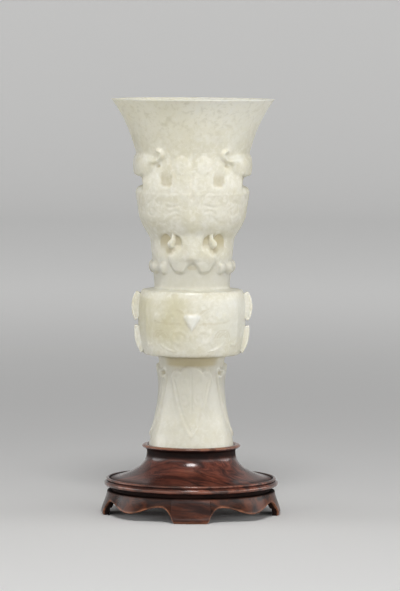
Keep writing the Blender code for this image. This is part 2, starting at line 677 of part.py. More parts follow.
def stand_profile():
    """Half section of the stand's top: socket, lip, neck, slope, moulded edge, waist, underside."""
    rim = LIP_RADIUS - LIP_THICKNESS / 2
    middle = STAND_HEIGHT - LIP_THICKNESS / 2
    profile = [(0, SOCKET_FLOOR), (SOCKET_RADIUS, SOCKET_FLOOR), (SOCKET_RADIUS, STAND_HEIGHT)]
    profile.append((rim, STAND_HEIGHT))
    profile += quarter((rim, middle), LIP_THICKNESS / 2, LIP_THICKNESS / 2, 90, -90, 4)
    profile.append((STAND_NECK_RADIUS, LIP_BASE))
    profile.append((STAND_NECK_RADIUS, SLOPE_TOP))
    spread = SLOPE_RADIUS - STAND_NECK_RADIUS
    profile += bezier(
        (STAND_NECK_RADIUS, SLOPE_TOP),
        (STAND_NECK_RADIUS, SLOPE_TOP - 0.5 * SLOPE_HEIGHT),
        (STAND_NECK_RADIUS + 0.38 * spread, EDGE_TOP + 0.18 * SLOPE_HEIGHT),
        (SLOPE_RADIUS, EDGE_TOP),
    )
    step = EDGE_BASE + 2 * EDGE_BEAD
    profile.append((SLOPE_RADIUS, step + EDGE_STEP * 0.3))
    profile.append((EDGE_RADIUS - EDGE_STEP, step + EDGE_STEP * 0.2))
    profile.append((EDGE_RADIUS - EDGE_BEAD, step))
    profile += quarter((EDGE_RADIUS - EDGE_BEAD, EDGE_BASE + EDGE_BEAD), EDGE_BEAD, EDGE_BEAD, 90, -90, 4)
    profile.append((WAIST_RADIUS, EDGE_BASE))
    profile.append((WAIST_RADIUS, LEG_HEIGHT))
    hollow = WAIST_RADIUS - UNDERSIDE_RIM
    profile.append((hollow, LEG_HEIGHT))
    profile.append((hollow - UNDERSIDE_DEPTH, LEG_HEIGHT + UNDERSIDE_DEPTH))
    profile.append((0, LEG_HEIGHT + UNDERSIDE_DEPTH))
    return profile


def build_stand_top(parts, tools):
    """Turned top of the stand, with a blind mortise over each leg."""
    top = turned("stand_top", stand_profile(), parts)
    for index in range(4):
        mortise = block(
            f"mortise {index}",
            (-TENON_WIDTH / 2 - SEAT_GAP, -TENON_FACE - SEAT_GAP, LEG_HEIGHT - CUT_OVERRUN),
            (TENON_WIDTH / 2 + SEAT_GAP, -TENON_FACE + TENON_THICKNESS + SEAT_GAP,
             LEG_HEIGHT + TENON_LENGTH + SEAT_GAP),
            tools,
        )
        mortise.rotation_euler.z = index * math.pi / 2
        boolean(top, "DIFFERENCE", as_tool(mortise))
    return top


def leg_side():
    """Outer side of the legs and aprons, from the top down: a spreading curve and a rounded toe."""
    top = (LEG_TOP_RADIUS, LEG_TOP)
    toe = (LEG_FOOT_RADIUS, LEG_TOE_HEIGHT)
    fall = LEG_TOP - LEG_TOE_HEIGHT
    side = [top]
    side += bezier(
        top,
        (LEG_TOP_RADIUS + 0.2 * LEG_FLARE, LEG_TOP - 0.36 * fall),
        (LEG_FOOT_RADIUS - 0.13 * LEG_FLARE, LEG_TOE_HEIGHT + 0.34 * fall),
        toe,
    )
    heel = (LEG_FOOT_RADIUS - LEG_TOE_DEPTH, LEG_TOE_HEIGHT)
    return side + quarter(heel, LEG_TOE_DEPTH, LEG_TOE_HEIGHT, 0, -90)


def front_plate(name, outline, angle, collection):
    """Plate whose outline faces outwards at an angle, reaching from the axis past the legs."""
    depth = LEG_FOOT_RADIUS + CUT_OVERRUN
    plate = outline_plate(name, outline, depth / 2, collection)
    upright = Matrix.Rotation(math.pi / 2, 4, "X")
    outward = Matrix.Translation((0, -depth / 2, 0))
    plate.data.transform(Matrix.Rotation(math.radians(angle), 4, "Z") @ outward @ upright)
    return as_tool(plate)


def leg_mesh(tools):
    """One bracket leg at the front: a slice of a turned ring, thinner and narrower at the foot, with a
    tenon on top and a groove each side."""
    heel = (LEG_FOOT_RADIUS - LEG_FOOT_THICKNESS, 0)
    block_base = (LEG_TOP_RADIUS - LEG_THICKNESS, LEG_TOP - LEG_BLOCK_HEIGHT)
    reach = heel[0] - block_base[0]
    profile = leg_side()
    profile.append(heel)
    profile += bezier(
        heel,
        (heel[0] - 0.1 * reach, 0.55 * block_base[1]),
        (heel[0] - 0.4 * reach, block_base[1]),
        block_base,
        4,
    )
    profile.append((block_base[0], LEG_TOP))
    leg = turned("leg", profile, tools, closed=True, steps=RING_STEPS)
    foot_half = LEG_HALF_WIDTH - LEG_TAPER
    right = [(foot_half - LEG_CORNER, -CUT_OVERRUN), (foot_half - LEG_CORNER, 0), (foot_half, LEG_CORNER)]
    right.append((LEG_HALF_WIDTH, LEG_TAPER_HEIGHT))
    right.append((LEG_HALF_WIDTH, LEG_HEIGHT + CUT_OVERRUN))
    outline = right + [(-x, y) for x, y in reversed(right)]
    boolean(leg, "INTERSECT", front_plate("leg outline", outline, 0, tools))
    tenon = block(
        "tenon",
        (-TENON_WIDTH / 2, -TENON_FACE, LEG_TOP - CUT_OVERRUN),
        (TENON_WIDTH / 2, -TENON_FACE + TENON_THICKNESS, LEG_HEIGHT + TENON_LENGTH),
        tools,
    )
    boolean(leg, "UNION", as_tool(tenon))
    half_groove = TONGUE_THICKNESS / 2 + SEAT_GAP
    bottom = LEG_HALF_WIDTH - TONGUE_LENGTH - SEAT_GAP
    for side, low, high in (("right", bottom, LEG_WIDTH), ("left", -LEG_WIDTH, -bottom)):
        groove = block(
            f"groove {side}",
            (low, -TONGUE_PLACE - half_groove, TONGUE_BASE - SEAT_GAP),
            (high, -TONGUE_PLACE + half_groove, LEG_HEIGHT + CUT_OVERRUN),
            tools,
        )
        boolean(leg, "DIFFERENCE", as_tool(groove))
    mesh = evaluated_mesh(leg)
    bpy.data.objects.remove(leg)
    return mesh


def apron_outline():
    """Outline of an apron seen from outside: a middle lobe, an arch each side, and a fall to each leg."""
    to_leg = math.pi / 4 - math.asin(LEG_HALF_WIDTH / LEG_FOOT_RADIUS)
    end = LEG_FOOT_RADIUS * math.sin(to_leg)
    arch = end - APRON_ARCH_RUN
    half = []
    for index in range(CURVE_POINTS + 1):
        swing = math.pi * index / CURVE_POINTS
        rise = APRON_LOBE_RISE + (APRON_ARCH_RISE - APRON_LOBE_RISE) * (1 - math.cos(swing)) / 2
        half.append((arch * index / CURVE_POINTS, rise))
    drop = APRON_ARCH_RISE - LEG_TAPER_HEIGHT
    half += bezier(
        (arch, APRON_ARCH_RISE),
        (arch + 0.41 * APRON_ARCH_RUN, APRON_ARCH_RISE),
        (end - 0.24 * APRON_ARCH_RUN, APRON_ARCH_RISE - 0.47 * drop),
        (end, LEG_TAPER_HEIGHT),
    )
    half.append((LEG_FOOT_RADIUS, LEG_TAPER_HEIGHT))
    half.append((LEG_FOOT_RADIUS, LEG_HEIGHT + CUT_OVERRUN))
    return half + [(-x, y) for x, y in reversed(half[1:])]


def apron_mesh(tools):
    """One apron between the front and right legs: a slice of a turned ring with a cusped lower edge."""
    outer = leg_side()
    inner = [(radius - APRON_THICKNESS, height) for radius, height in reversed(outer)]
    apron = turned("apron", outer + inner, tools, closed=True, steps=RING_STEPS)
    boolean(apron, "INTERSECT", front_plate("apron outline", apron_outline(), 45, tools))
    joint = LEG_HALF_WIDTH + SEAT_GAP
    far = 2 * LEG_FOOT_RADIUS
    quadrant = block("apron quadrant", (joint, -far, -far), (far, -joint, far), tools)
    boolean(apron, "INTERSECT", as_tool(quadrant))
    near = LEG_HALF_WIDTH - TONGUE_LENGTH
    half = TONGUE_THICKNESS / 2
    front_tongue = block(
        "tongue front",
        (near, -TONGUE_PLACE - half, TONGUE_BASE),
        (joint + CUT_OVERRUN, -TONGUE_PLACE + half, TONGUE_TOP),
        tools,
    )
    right_tongue = block(
        "tongue right",
        (TONGUE_PLACE - half, -joint - CUT_OVERRUN, TONGUE_BASE),
        (TONGUE_PLACE + half, -near, TONGUE_TOP),
        tools,
    )
    for tongue in (front_tongue, right_tongue):
        boolean(apron, "UNION", as_tool(tongue))
    mesh = evaluated_mesh(apron)
    bpy.data.objects.remove(apron)
    return mesh


def finish_part(obj, material):
    """Gives a part its material and smooth shading between sharp edges."""
    obj.data.materials.clear()
    obj.data.materials.append(material)
    obj.data.shade_smooth()
    obj.data.set_sharp_from_angle(angle=math.radians(SHARP_ANGLE))


def build_stand(parts, tools):
    """The stand: a turned top on four legs, with an apron between each pair."""
    finish_part(build_stand_top(parts, tools), new_material(*TOP_WOOD))
    leg = leg_mesh(tools)
    apron = apron_mesh(tools)
    leg_wood = new_material(*LEG_WOOD)
    apron_wood = new_material(*APRON_WOOD)
    legs = ("leg_front", "leg_right", "leg_back", "leg_left")
    aprons = ("apron_front_right", "apron_back_right", "apron_back_left", "apron_front_left")
    for index, (leg_name, apron_name) in enumerate(zip(legs, aprons)):
        for name, mesh, wood in ((leg_name, leg, leg_wood), (apron_name, apron, apron_wood)):
            piece = new_object(name, mesh, parts)
            piece.rotation_euler.z = index * math.pi / 2
            finish_part(piece, wood)


def main():
    """Builds the stand and the vase."""
    for obj in list(bpy.data.objects):
        bpy.data.objects.remove(obj)
    parts = new_collection("jade vase on stand")
    tools = new_collection("cutters")
    relief = new_collection("vase carving")
    build_stand(parts, tools)
    finish_part(build_vase(parts, tools, relief), new_material(*JADE))


main()
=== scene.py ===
"""Jade vase with a horned mask, on its fitted wood stand: finished surfaces, materials, light and camera."""
import math

import bpy
import numpy as np
from mathutils import Matrix


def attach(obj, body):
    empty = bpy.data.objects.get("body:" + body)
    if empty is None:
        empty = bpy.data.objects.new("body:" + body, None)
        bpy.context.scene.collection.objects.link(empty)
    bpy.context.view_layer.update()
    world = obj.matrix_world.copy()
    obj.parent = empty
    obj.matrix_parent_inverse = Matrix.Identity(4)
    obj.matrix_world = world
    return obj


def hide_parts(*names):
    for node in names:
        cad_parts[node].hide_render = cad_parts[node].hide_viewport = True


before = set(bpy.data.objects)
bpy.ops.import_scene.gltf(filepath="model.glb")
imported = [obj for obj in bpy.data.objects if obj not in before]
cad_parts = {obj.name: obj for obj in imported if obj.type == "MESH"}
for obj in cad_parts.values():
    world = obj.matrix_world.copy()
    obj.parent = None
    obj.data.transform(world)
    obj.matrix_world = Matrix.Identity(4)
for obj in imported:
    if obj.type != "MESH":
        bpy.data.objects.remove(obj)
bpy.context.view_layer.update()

# Sizes of the vase and stand are in millimetres, and those of the studio and lamps in metres
MM = 0.001

# Heights on the vase above the floor, and the span of its neck
VASE_SEAT = 33.5
VASE_TOP = 208.0
HORN_LEVEL = 175.2
BORE_BEND = 140.0
MASK_BASE = 138.2
DRUM_TOP = 113.1
FOOT_WAIST = 66.0
FOOT_RIM = 41.0
NECK_SPAN = VASE_TOP - DRUM_TOP

# Lowest and highest point of each carved zone
NECK_ZONE = (119.0, 205.0)
DRUM_ZONE = (79.95, 110.8)
FOOT_ZONE = (0.0, 78.0)

# Points round the vase, the stand's top and the studio, and along a rounded corner
VASE_COLUMNS = 296
TOP_COLUMNS = 240
STUDIO_COLUMNS = 96
CORNER_STEPS = 6

# Radii at which the carving's arc lengths are measured
MASK_ROLL = 26.0
DRUM_ROLL = 26.4
FOOT_ROLL = 17.0

# Width over which the creases between joined heights are rounded
CREASE = 0.4

# Carving on the neck: arc length from the mask's middle, height, and for a stroke its half width
POCKET = [
    (10.4, 164.6), (14.6, 164.6), (15.9, 165.9), (15.9, 170.0),
    (15.2, 175.0), (11.6, 175.0), (9.2, 170.0), (9.0, 165.9)]
HORN_BAND = [
    (42.0, 175.4, 6.2), (30.0, 175.4, 6.2), (26.0, 175.9, 5.4), (23.2, 176.4, 4.4), (21.0, 176.8, 3.1),
    (19.0, 177.2, 2.0), (17.0, 177.7, 1.75), (15.2, 178.9, 1.7), (14.4, 180.6, 1.6), (15.0, 182.1, 1.5),
    (16.4, 182.6, 1.2)]
UNDER_HOOK = [(17.4, 174.4, 0.5), (16.2, 175.0, 0.8)]
JAW_EDGE = [
    (44.0, 131.0), (36.0, 130.2), (31.0, 129.4), (25.0, 128.4), (20.0, 127.4), (16.6, 126.6), (14.4, 124.9),
    (12.8, 122.9), (10.8, 121.7), (8.2, 121.3), (6.0, 121.5), (4.4, 122.3), (3.4, 123.8), (2.0, 125.3),
    (0.0, 126.2), (-2.0, 126.4)]
OUTER_HOLLOW = [
    (22.9, 129.0), (23.0, 135.6), (22.4, 138.0), (21.0, 140.0), (18.8, 141.4), (16.8, 141.8), (15.0, 141.3),
    (13.6, 139.9), (12.9, 137.8), (12.7, 133.6), (13.6, 130.0), (18.0, 128.6)]
INNER_HOLLOW = [
    (13.6, 129.6), (13.6, 140.6), (11.6, 141.4), (9.4, 141.2), (7.4, 140.2), (6.3, 138.4), (5.9, 136.2),
    (6.2, 133.8), (9.0, 130.4)]
FANG = [(11.6, 141.3, 0.9), (11.5, 140.0, 1.1), (11.9, 138.0, 1.4), (13.3, 136.3, 2.2)]
UNDER_FANG = [(16.6, 133.0, 1.1), (13.8, 132.6, 1.6), (12.0, 133.0, 1.0)]
MASK_LINES = [
    [(0.0, 181.5, 0.6), (0.0, 170.0, 0.65), (0.0, 160.5, 0.4)],
    [(4.0, 157.4, 0.3), (5.4, 160.4, 0.5), (7.8, 162.2, 0.4), (9.8, 161.6, 0.3)],
    [(5.8, 156.0, 0.3), (8.6, 155.2, 0.5), (11.6, 154.8, 0.5), (13.4, 156.2, 0.4), (12.2, 157.8, 0.3)],
    [(6.6, 152.6, 0.3), (9.0, 153.2, 0.4), (11.0, 151.8, 0.3)],
    [(21.6, 157.8, 0.3), (24.8, 155.4, 0.5), (24.2, 151.4, 0.5), (20.8, 150.6, 0.5), (19.6, 153.0, 0.4),
     (21.6, 154.2, 0.3)],
    [(28.6, 161.0, 0.3), (31.6, 157.6, 0.5), (30.6, 153.0, 0.5), (28.4, 152.4, 0.3)],
    [(17.4, 161.6, 0.3), (18.6, 159.0, 0.5), (17.4, 156.2, 0.3)],
    [(6.4, 150.8, 0.3), (10.0, 149.6, 0.5), (13.6, 147.2, 0.5), (17.0, 146.8, 0.3)],
    [(26.0, 147.6, 0.3), (22.8, 146.0, 0.5), (20.0, 146.8, 0.3)],
    [(9.6, 175.0, 0.2), (10.6, 180.0, 0.5), (12.8, 186.5, 0.5), (15.8, 194.0, 0.2)],
    [(21.6, 188.0, 0.2), (20.2, 193.0, 0.5), (21.8, 197.0, 0.5), (20.4, 202.0, 0.2)],
    [(27.0, 178.0, 0.3), (31.6, 178.6, 0.5), (36.2, 176.8, 0.5), (36.6, 173.6, 0.4), (33.6, 172.6, 0.3)],
]

# Carving on the drum: the kite nose, scrolls with their rise and edge, grooves, middles of eye and arches
KITE = [
    (-4.4, 100.6), (-2.8, 102.3), (0.0, 101.6), (2.8, 102.3),
    (4.4, 100.6), (2.7, 97.2), (0.0, 93.2), (-2.7, 97.2)]
DRUM_SCROLLS = [
    (0.7, 0.5, [(15.4, 101.8, 0.4), (13.6, 102.0, 0.6), (12.9, 100.4, 0.6), (14.2, 99.3, 0.6),
                (15.0, 100.4, 0.4)]),
    (0.7, 0.5, [(11.4, 101.2, 0.4), (9.8, 102.0, 0.7), (8.4, 100.8, 0.7), (8.9, 99.2, 0.6),
                (10.2, 99.6, 0.4)]),
    (0.5, 0.6, [(2.4, 91.4, 0.6), (5.8, 93.6, 1.0), (9.4, 92.6, 1.1), (9.8, 88.8, 1.0), (6.4, 87.4, 0.8),
                (5.4, 89.8, 0.5)]),
    (0.6, 0.6, [(17.4, 86.6, 0.4), (13.6, 84.4, 0.7), (9.8, 83.4, 0.4)]),
]
DRUM_GROOVES = [
    [(8.2, 104.4, 0.3), (6.0, 103.7, 0.7), (4.4, 102.4, 0.7)],
    [(20.8, 98.4, 0.3), (17.4, 97.7, 0.5), (11.6, 97.1, 0.6), (8.2, 97.4, 0.7), (4.2, 97.0, 0.5)],
]
DRUM_EYE = (18.4, 99.9)
DRUM_ARCH = (16.9, 90.0)

# Carving on the foot: a hanging leaf from just past its middle, the lines on it and its hole's middle
LEAF = [
    (-8.0, 75.7), (0.0, 75.7), (1.8, 75.4), (3.4, 74.7), (4.7, 73.7), (5.6, 72.7), (6.4, 73.4), (7.8, 73.7),
    (9.4, 73.0), (10.4, 71.4), (11.4, 70.2), (11.6, 68.4), (10.8, 66.0), (9.8, 62.0), (8.4, 56.7),
    (6.0, 50.0), (2.4, 42.8), (0.0, 39.4), (-2.4, 42.8), (-6.0, 50.0)]
LEAF_LINES = [
    [(0.0, 74.6, 0.4), (0.0, 66.0, 0.45), (0.0, 53.0, 0.35)],
    [(1.0, 68.6, 0.3), (3.2, 69.6, 0.5), (4.6, 67.8, 0.4), (3.0, 66.2, 0.3)],
    [(1.2, 56.0, 0.3), (3.0, 54.6, 0.5), (4.6, 55.6, 0.3)],
]
LEAF_HOLE = (9.6, 71.6)

# Fins: half thickness, edge rounding, the flare gained over its reach from the tip, and the outlines
FIN_HALF = 2.0
FIN_EDGE = 0.7
FIN_FLARE = 5.8
FIN_FLARE_REACH = 6.6
UPPER_FIN = [
    (23.6, 109.6), (25.4, 110.5), (26.1, 111.0), (26.9, 111.6), (27.9, 111.8), (28.8, 110.6), (29.6, 108.7),
    (30.2, 105.8), (30.25, 103.4), (29.9, 101.0), (29.1, 98.5), (28.0, 97.3), (27.0, 98.0), (26.1, 98.8),
    (23.6, 99.2), (23.4, 104.0)]
LOWER_FIN = [
    (22.8, 94.0), (26.0, 94.4), (27.6, 94.9), (28.5, 94.9), (28.85, 93.4), (28.8, 91.0), (28.4, 88.0),
    (27.7, 85.3), (26.6, 83.0), (25.5, 81.1), (24.8, 81.4), (24.0, 82.6), (22.4, 83.4), (22.4, 88.4)]

# Legs and aprons: radii at the waist and where a leg's width is measured, then heights and sizes
WAIST_RADIUS = 42.0
LEG_RADIUS = 43.9
RAIL_TOP = 12.04
RAIL_CORNER = 0.55
RAIL_END_ROUND = 0.08
LEG_HALF_WIDTH = 9.92
LEG_THICKNESS = 5.6
LEG_FOOT_TAPER = 2.4
APRON_START = 9.98
APRON_THICKNESS = 4.0
APRON_LOBE = 3.6
APRON_ARCH = 4.0
ARCH_SWING = 24.6

# Colours of the stone: its cloudy ground, then what is laid over it, with painted light and painted shade
# among them
STONE_STRAW_CLOUD = (0.70, 0.67, 0.525)
STONE_PALE_CLOUD = (0.765, 0.742, 0.632)
# Painted light, which makes the trumpet lighter
STONE_PAINTED_LIGHT = (0.90, 0.87, 0.74)
STONE_WISP = (0.63, 0.595, 0.44)
STONE_PALE_WISP = (0.83, 0.82, 0.735)
STONE_CURD = (0.87, 0.852, 0.765)
STONE_CURD_SHADE = (0.64, 0.61, 0.49)
# Yellow tint, which on the left of drum and trumpet is also painted shade
STONE_STRAW_AND_SHADE = (0.60, 0.555, 0.345)
# Cool painted light on the right side, and painted highlights on kite and horns
STONE_COOL_PAINTED_LIGHT = (0.80, 0.81, 0.76)
# Painted shade on the throat and the foot
STONE_PAINTED_SHADE = (0.56, 0.545, 0.47)
# Warm staining in the grooves, painted shade in the hollows and painted shadow below the drum
STONE_STAIN_AND_SHADE = (0.46, 0.385, 0.20)

# Colours of the wood's pores, worn edges and the painted shade in its hollows
WOOD_PORE = (0.008, 0.004, 0.004)
WOOD_WORN = (0.30, 0.12, 0.062)
WOOD_PAINTED_SHADE = (0.007, 0.004, 0.0035)

# Dark and red tones of each wood
TOP_DARK = (0.036, 0.012, 0.009)
TOP_RED = (0.26, 0.074, 0.045)
LEG_DARK = (0.026, 0.010, 0.0075)
LEG_RED = (0.130, 0.038, 0.019)
APRON_DARK = (0.016, 0.006, 0.004)
APRON_RED = (0.130, 0.036, 0.014)

# Studio: its floor, the bend up to its wall, and its colours
FLOOR_RADIUS = 3.0
COVE_RADIUS = 0.9
PAPER_DARK = (0.84, 0.835, 0.825)
PAPER_LIGHT = (0.86, 0.855, 0.845)
PAPER_BOUNCE = (0.56, 0.555, 0.55)
PAPER_LIFT = (0.3, 0.3, 0.297)
WALL = (0.05, 0.05, 0.05)

# Lamps: name, place, the point each is turned to, width, height and watts
LAMPS = [
    ("key_lamp", (0.02, -0.95, 1.25), (0.0, 0.0, 0.1), 0.46, 0.52, 10.8),
    ("front_fill", (0.3, -2.6, 0.42), (0.0, 0.0, 0.14), 2.6, 0.8, 11.8),
    ("right_fill", (1.4, -1.6, 0.56), (0.0, 0.0, 0.15), 2.2, 1.0, 11.0),
    ("left_fill", (-1.4, -1.6, 0.56), (0.0, 0.0, 0.15), 2.2, 1.0, 6.5),
    ("right_side", (2.5, 0.1, 0.5), (0.0, 0.0, 0.17), 2.4, 0.9, 20.0),
    ("left_side", (-2.5, 0.1, 0.5), (0.0, 0.0, 0.17), 2.4, 0.9, 19.0),
]
WORLD_STRENGTH = 0.15

# Camera: place in metres, degrees down and round, and its lens in millimetres
CAMERA_PLACE = (0.004, -2.0, 0.246)
CAMERA_DOWN = 3.9
CAMERA_ROLL = 0.31
CAMERA_LENS = 162.8
CAMERA_SENSOR = 24.0


def ramp(value, low, high):
    """Smooth step: 0 below low, 1 above high, and 3t^2 - 2t^3 between."""
    share = np.clip((value - low) / (high - low), 0.0, 1.0)
    return share * share * (3.0 - 2.0 * share)


def through(points, steps=8):
    """Smooth chain through points: each span is the cubic whose slopes follow its neighbours."""
    knots = np.array(points, float)
    knots = np.vstack([2 * knots[0] - knots[1], knots, 2 * knots[-1] - knots[-2]])
    share = np.linspace(0.0, 1.0, steps, endpoint=False)[:, None]
    spans = []
    for before, start, end, after in zip(knots[:-3], knots[1:-2], knots[2:-1], knots[3:]):
        turn = 2 * before - 5 * start + 4 * end - after
        lean = 3 * start - before - 3 * end + after
        spans.append(start + 0.5 * share * (end - before + share * (turn + share * lean)))
    return np.vstack(spans + [knots[-2:-1]])


def stroke(u, z, points, steps=6):
    """Depth inside a smooth chain: its half width there (third value of a point) less the distance to it."""
    chain = through(points, steps)
    best = np.full(np.shape(u), -1e9)
    for start, end in zip(chain[:-1], chain[1:]):
        run = end - start
        length = run[0] ** 2 + run[1] ** 2 + 1e-12
        share = np.clip(((u - start[0]) * run[0] + (z - start[1]) * run[1]) / length, 0.0, 1.0)
        gap = np.hypot(u - start[0] - share * run[0], z - start[1] - share * run[1])
        best = np.maximum(best, start[2] + share * run[2] - gap)
    return best


def strokes(u, z, lines):
    """Greatest depth inside any of several strokes."""
    return np.maximum.reduce([stroke(u, z, line) for line in lines])


def inside(u, z, corners):
    """Signed distance to a closed outline: to the nearest edge, positive where an even-odd count is odd."""
    outline = np.array(corners, float)
    best = np.full(np.shape(u), 1e9)
    within = np.zeros(np.shape(u), bool)
    for start, end in zip(outline, np.roll(outline, -1, axis=0)):
        run = end - start
        along = (u - start[0]) * run[0] + (z - start[1]) * run[1]
        share = np.clip(along / (run @ run + 1e-12), 0.0, 1.0)
        best = np.minimum(best, np.hypot(u - start[0] - share * run[0], z - start[1] - share * run[1]))
        crosses = (start[1] > z) != (end[1] > z)
        level = start[0] + (z - start[1]) * run[0] / (run[1] if run[1] else 1e-12)
        within ^= crosses & (u < level)
    return np.where(within, best, -best)


def oval(u, z, centre, half_width, half_height):
    """Share of the way from an oval's edge (0) to its middle (1), negative outside."""
    return 1.0 - np.hypot((u - centre[0]) / half_width, (z - centre[1]) / half_height)


def dome(share):
    """Rounded rise: the height of a quarter circle at a share of its run."""
    inner = np.clip(share, 0.0, 1.0)
    return np.sqrt(inner * (2.0 - inner))


def join(*heights):
    """Greatest of several heights with the creases rounded: half of a + b + sqrt((a - b)^2 + k^2) - k."""
    total = heights[0]
    for height in heights[1:]:
        total = 0.5 * (total + height + np.sqrt((total - height) ** 2 + CREASE**2) - CREASE)
    return total


def neck_radius(z):
    """Neck and trumpet: a straight taper, a swelling square term and a steep seventh power at the mouth."""
    t = np.clip((z - DRUM_TOP) / NECK_SPAN, 0.0, 1.0)
    return 18.75 + 6.2 * t + 8.7 * t**2 + 7.25 * t**7


def foot_radius(z):
    """Foot: square curves up and down from its waist, then a straight rim."""
    above = 15.9 + 0.7 * ((z - FOOT_WAIST) / 14.0) ** 2
    below = 15.9 + 4.1 * ((FOOT_WAIST - z) / 25.0) ** 2
    rim = 21.6 - 1.6 * (z - VASE_SEAT) / (FOOT_RIM - VASE_SEAT)
    return np.where(z > FOOT_WAIST, above, np.where(z > FOOT_RIM, below, rim))


def bore_radius(z):
    """Inside of the vase: the neck less a wall that thickens downwards, then a narrowing bore."""
    wall = 1.9 + 2.5 * ramp(VASE_TOP - z, 0.0, 58.0)
    return np.where(z > BORE_BEND, neck_radius(z) - wall, 12.0 + 4.8 * ramp(z, 92.0, BORE_BEND))


def vase_section():
    """Half section from the bottom of the bore over the lip and down the outside to the foot's hollow."""
    bore = np.concatenate([np.linspace(93.5, BORE_BEND, 9), np.linspace(146.0, 206.4, 15)])
    neck = np.concatenate([
        np.linspace(207.3, 184.2, 24), np.linspace(183.7, 120.5, 128), np.linspace(119.6, 114.6, 6)])
    foot = np.concatenate([
        np.linspace(77.7, 44.6, 42), np.linspace(44.1, 38.6, 14), np.linspace(37.8, 34.1, 5)])
    bottom = [(4.0, 90.0), (8.0, 90.2), (10.6, 91.0), (11.7, 92.2)]
    lip = [
        (38.9, 207.0), (39.15, 207.5), (39.5, 207.85), (39.9, 207.98), (40.4, 207.98), (40.75, 207.86),
        (40.8, 207.6)]
    shoulder = [
        (18.95, 114.0), (19.4, 113.4), (21.0, 113.1), (24.4, 112.8), (25.15, 112.4), (25.6, 111.4),
        (26.0, 110.1)]
    drum = [(26.3, 109.0), (26.55, 104.0), (26.3, 96.0), (25.6, 89.0), (24.75, 84.0), (24.35, 82.3)]
    under = [(24.0, 81.2), (23.3, 80.4), (21.5, 80.05), (18.2, 79.9), (17.0, 79.5), (16.68, 78.6)]
    base = [(21.45, 33.7), (21.1, 33.5), (18.5, 33.5), (16.4, 33.5), (15.9, 33.8), (15.6, 35.0)]
    hollow = [(14.6, 39.0), (13.4, 45.0), (12.3, 51.0), (11.6, 54.2), (10.4, 55.3), (7.0, 55.5), (3.0, 55.5)]
    section = [
        bottom,
        np.column_stack([bore_radius(bore), bore]),
        lip,
        np.column_stack([neck_radius(neck), neck]),
        through(shoulder, 2),
        through(drum, 10),
        through(under, 2),
        np.column_stack([foot_radius(foot), foot]),
        base,
        hollow,
    ]
    section = np.vstack([np.array(part, float) for part in section])
    outside = np.zeros(len(section), bool)
    outside[len(bottom) + len(bore) + len(lip):len(section) - len(base) - len(hollow)] = True
    return section, outside


def face_height(u, z, pocket):
    """Cheeks that swell by a sine to a rounded upper edge, and above them the flat face with its pockets."""
    cheek = 4.7 * np.sin(0.5 * np.pi * np.clip((z - MASK_BASE) / 13.0, 0.0, 1.0))
    cheek = cheek * dome((164.9 - z) / 4.2)
    face = 4.6 * (1.0 - ramp(z, 160.0, 186.0)) * ramp(z, 150.0, 160.0) * ramp(28.8 - u, 0.0, 1.6)
    return np.maximum(cheek, face * (1.0 - 0.24 * pocket))


def horn_height(u, z, ground):
    """Horns: a blade that rises to an outer lobe, square in height, inside a band that ends in a curl; a web
    fills the corner below it."""
    lobe = 30.15 - np.where(z < HORN_LEVEL, 0.02, 0.034) * (z - HORN_LEVEL) ** 2 - ground
    blade = 2.7 + (lobe - 2.7) * ramp(u, 17.0, 29.0)
    edge = stroke(u, z, HORN_BAND)
    below = dome(edge / (1.8 + 2.4 * ramp(26.5 - u, 0.0, 5.0)))
    above = ramp(edge, -0.7, 2.0 + 0.8 * ramp(u, 18.0, 26.0))
    rim = np.where(z < 175.6, below, above)
    web = (1.0 - ramp(-edge, -1.5, 7.5)) * ramp(28.6 - u, 0.0, 2.6)
    web = web * ramp(u, 17.6, 20.5) * ramp(177.0 - z, 0.0, 2.0)
    return np.maximum(blade, 0.0) * np.maximum(rim, web)


def jaw_height(u, z):
    """Upper jaw: a plate above a scalloped edge, fading to the sides and upwards."""
    outline = [(-6.0, 164.0), (44.0, 164.0), *through(JAW_EDGE, 4).tolist(), (-6.0, 126.6)]
    plate = 1.3 * ramp(inside(u, z, outline), -0.2, 1.6)
    return plate * (1.0 - ramp(u, 13.0, 17.6)) * ramp(150.0 - z, 0.0, 8.0)


def nose_height(u, z):
    """Rounded lips, and a nose ridge that widens downwards and fades at both ends."""
    lips = 0.35 * dome(oval(u, z, (6.2, 124.4), 4.2, 3.0))
    width = 3.4 + 1.9 * ramp(156.0 - z, 0.0, 22.0)
    ridge = 1.05 * (1.0 - ramp(u, 0.1 * width, 1.15 * width))
    return lips + ridge * ramp(158.0 - z, 0.0, 16.0) * ramp(z - 127.0, 0.0, 2.4)


def collar_height(u, z):
    """Collar outside the jaw: a rounded band whose height and width swell by a cosine into lumps."""
    lumps = 1.0 + 0.22 * np.cos(u * 0.62 - 12.7)
    return 1.75 * lumps * dome(1.0 - np.abs(z - 124.3) / (2.7 * lumps)) * ramp(u, 17.2, 19.4)


def fang_hollow(u, z):
    """Share of full depth in the two arched hollows beside a fang, which get shallow downwards."""
    outer = ramp(inside(u, z, through(OUTER_HOLLOW, 4)), -0.3, 0.9) * ramp(z, 129.5, 139.6)
    inner = ramp(inside(u, z, through(INNER_HOLLOW, 4)), -0.3, 1.0) * ramp(z, 130.4, 140.6)
    return np.maximum(outer, 0.9 * inner)


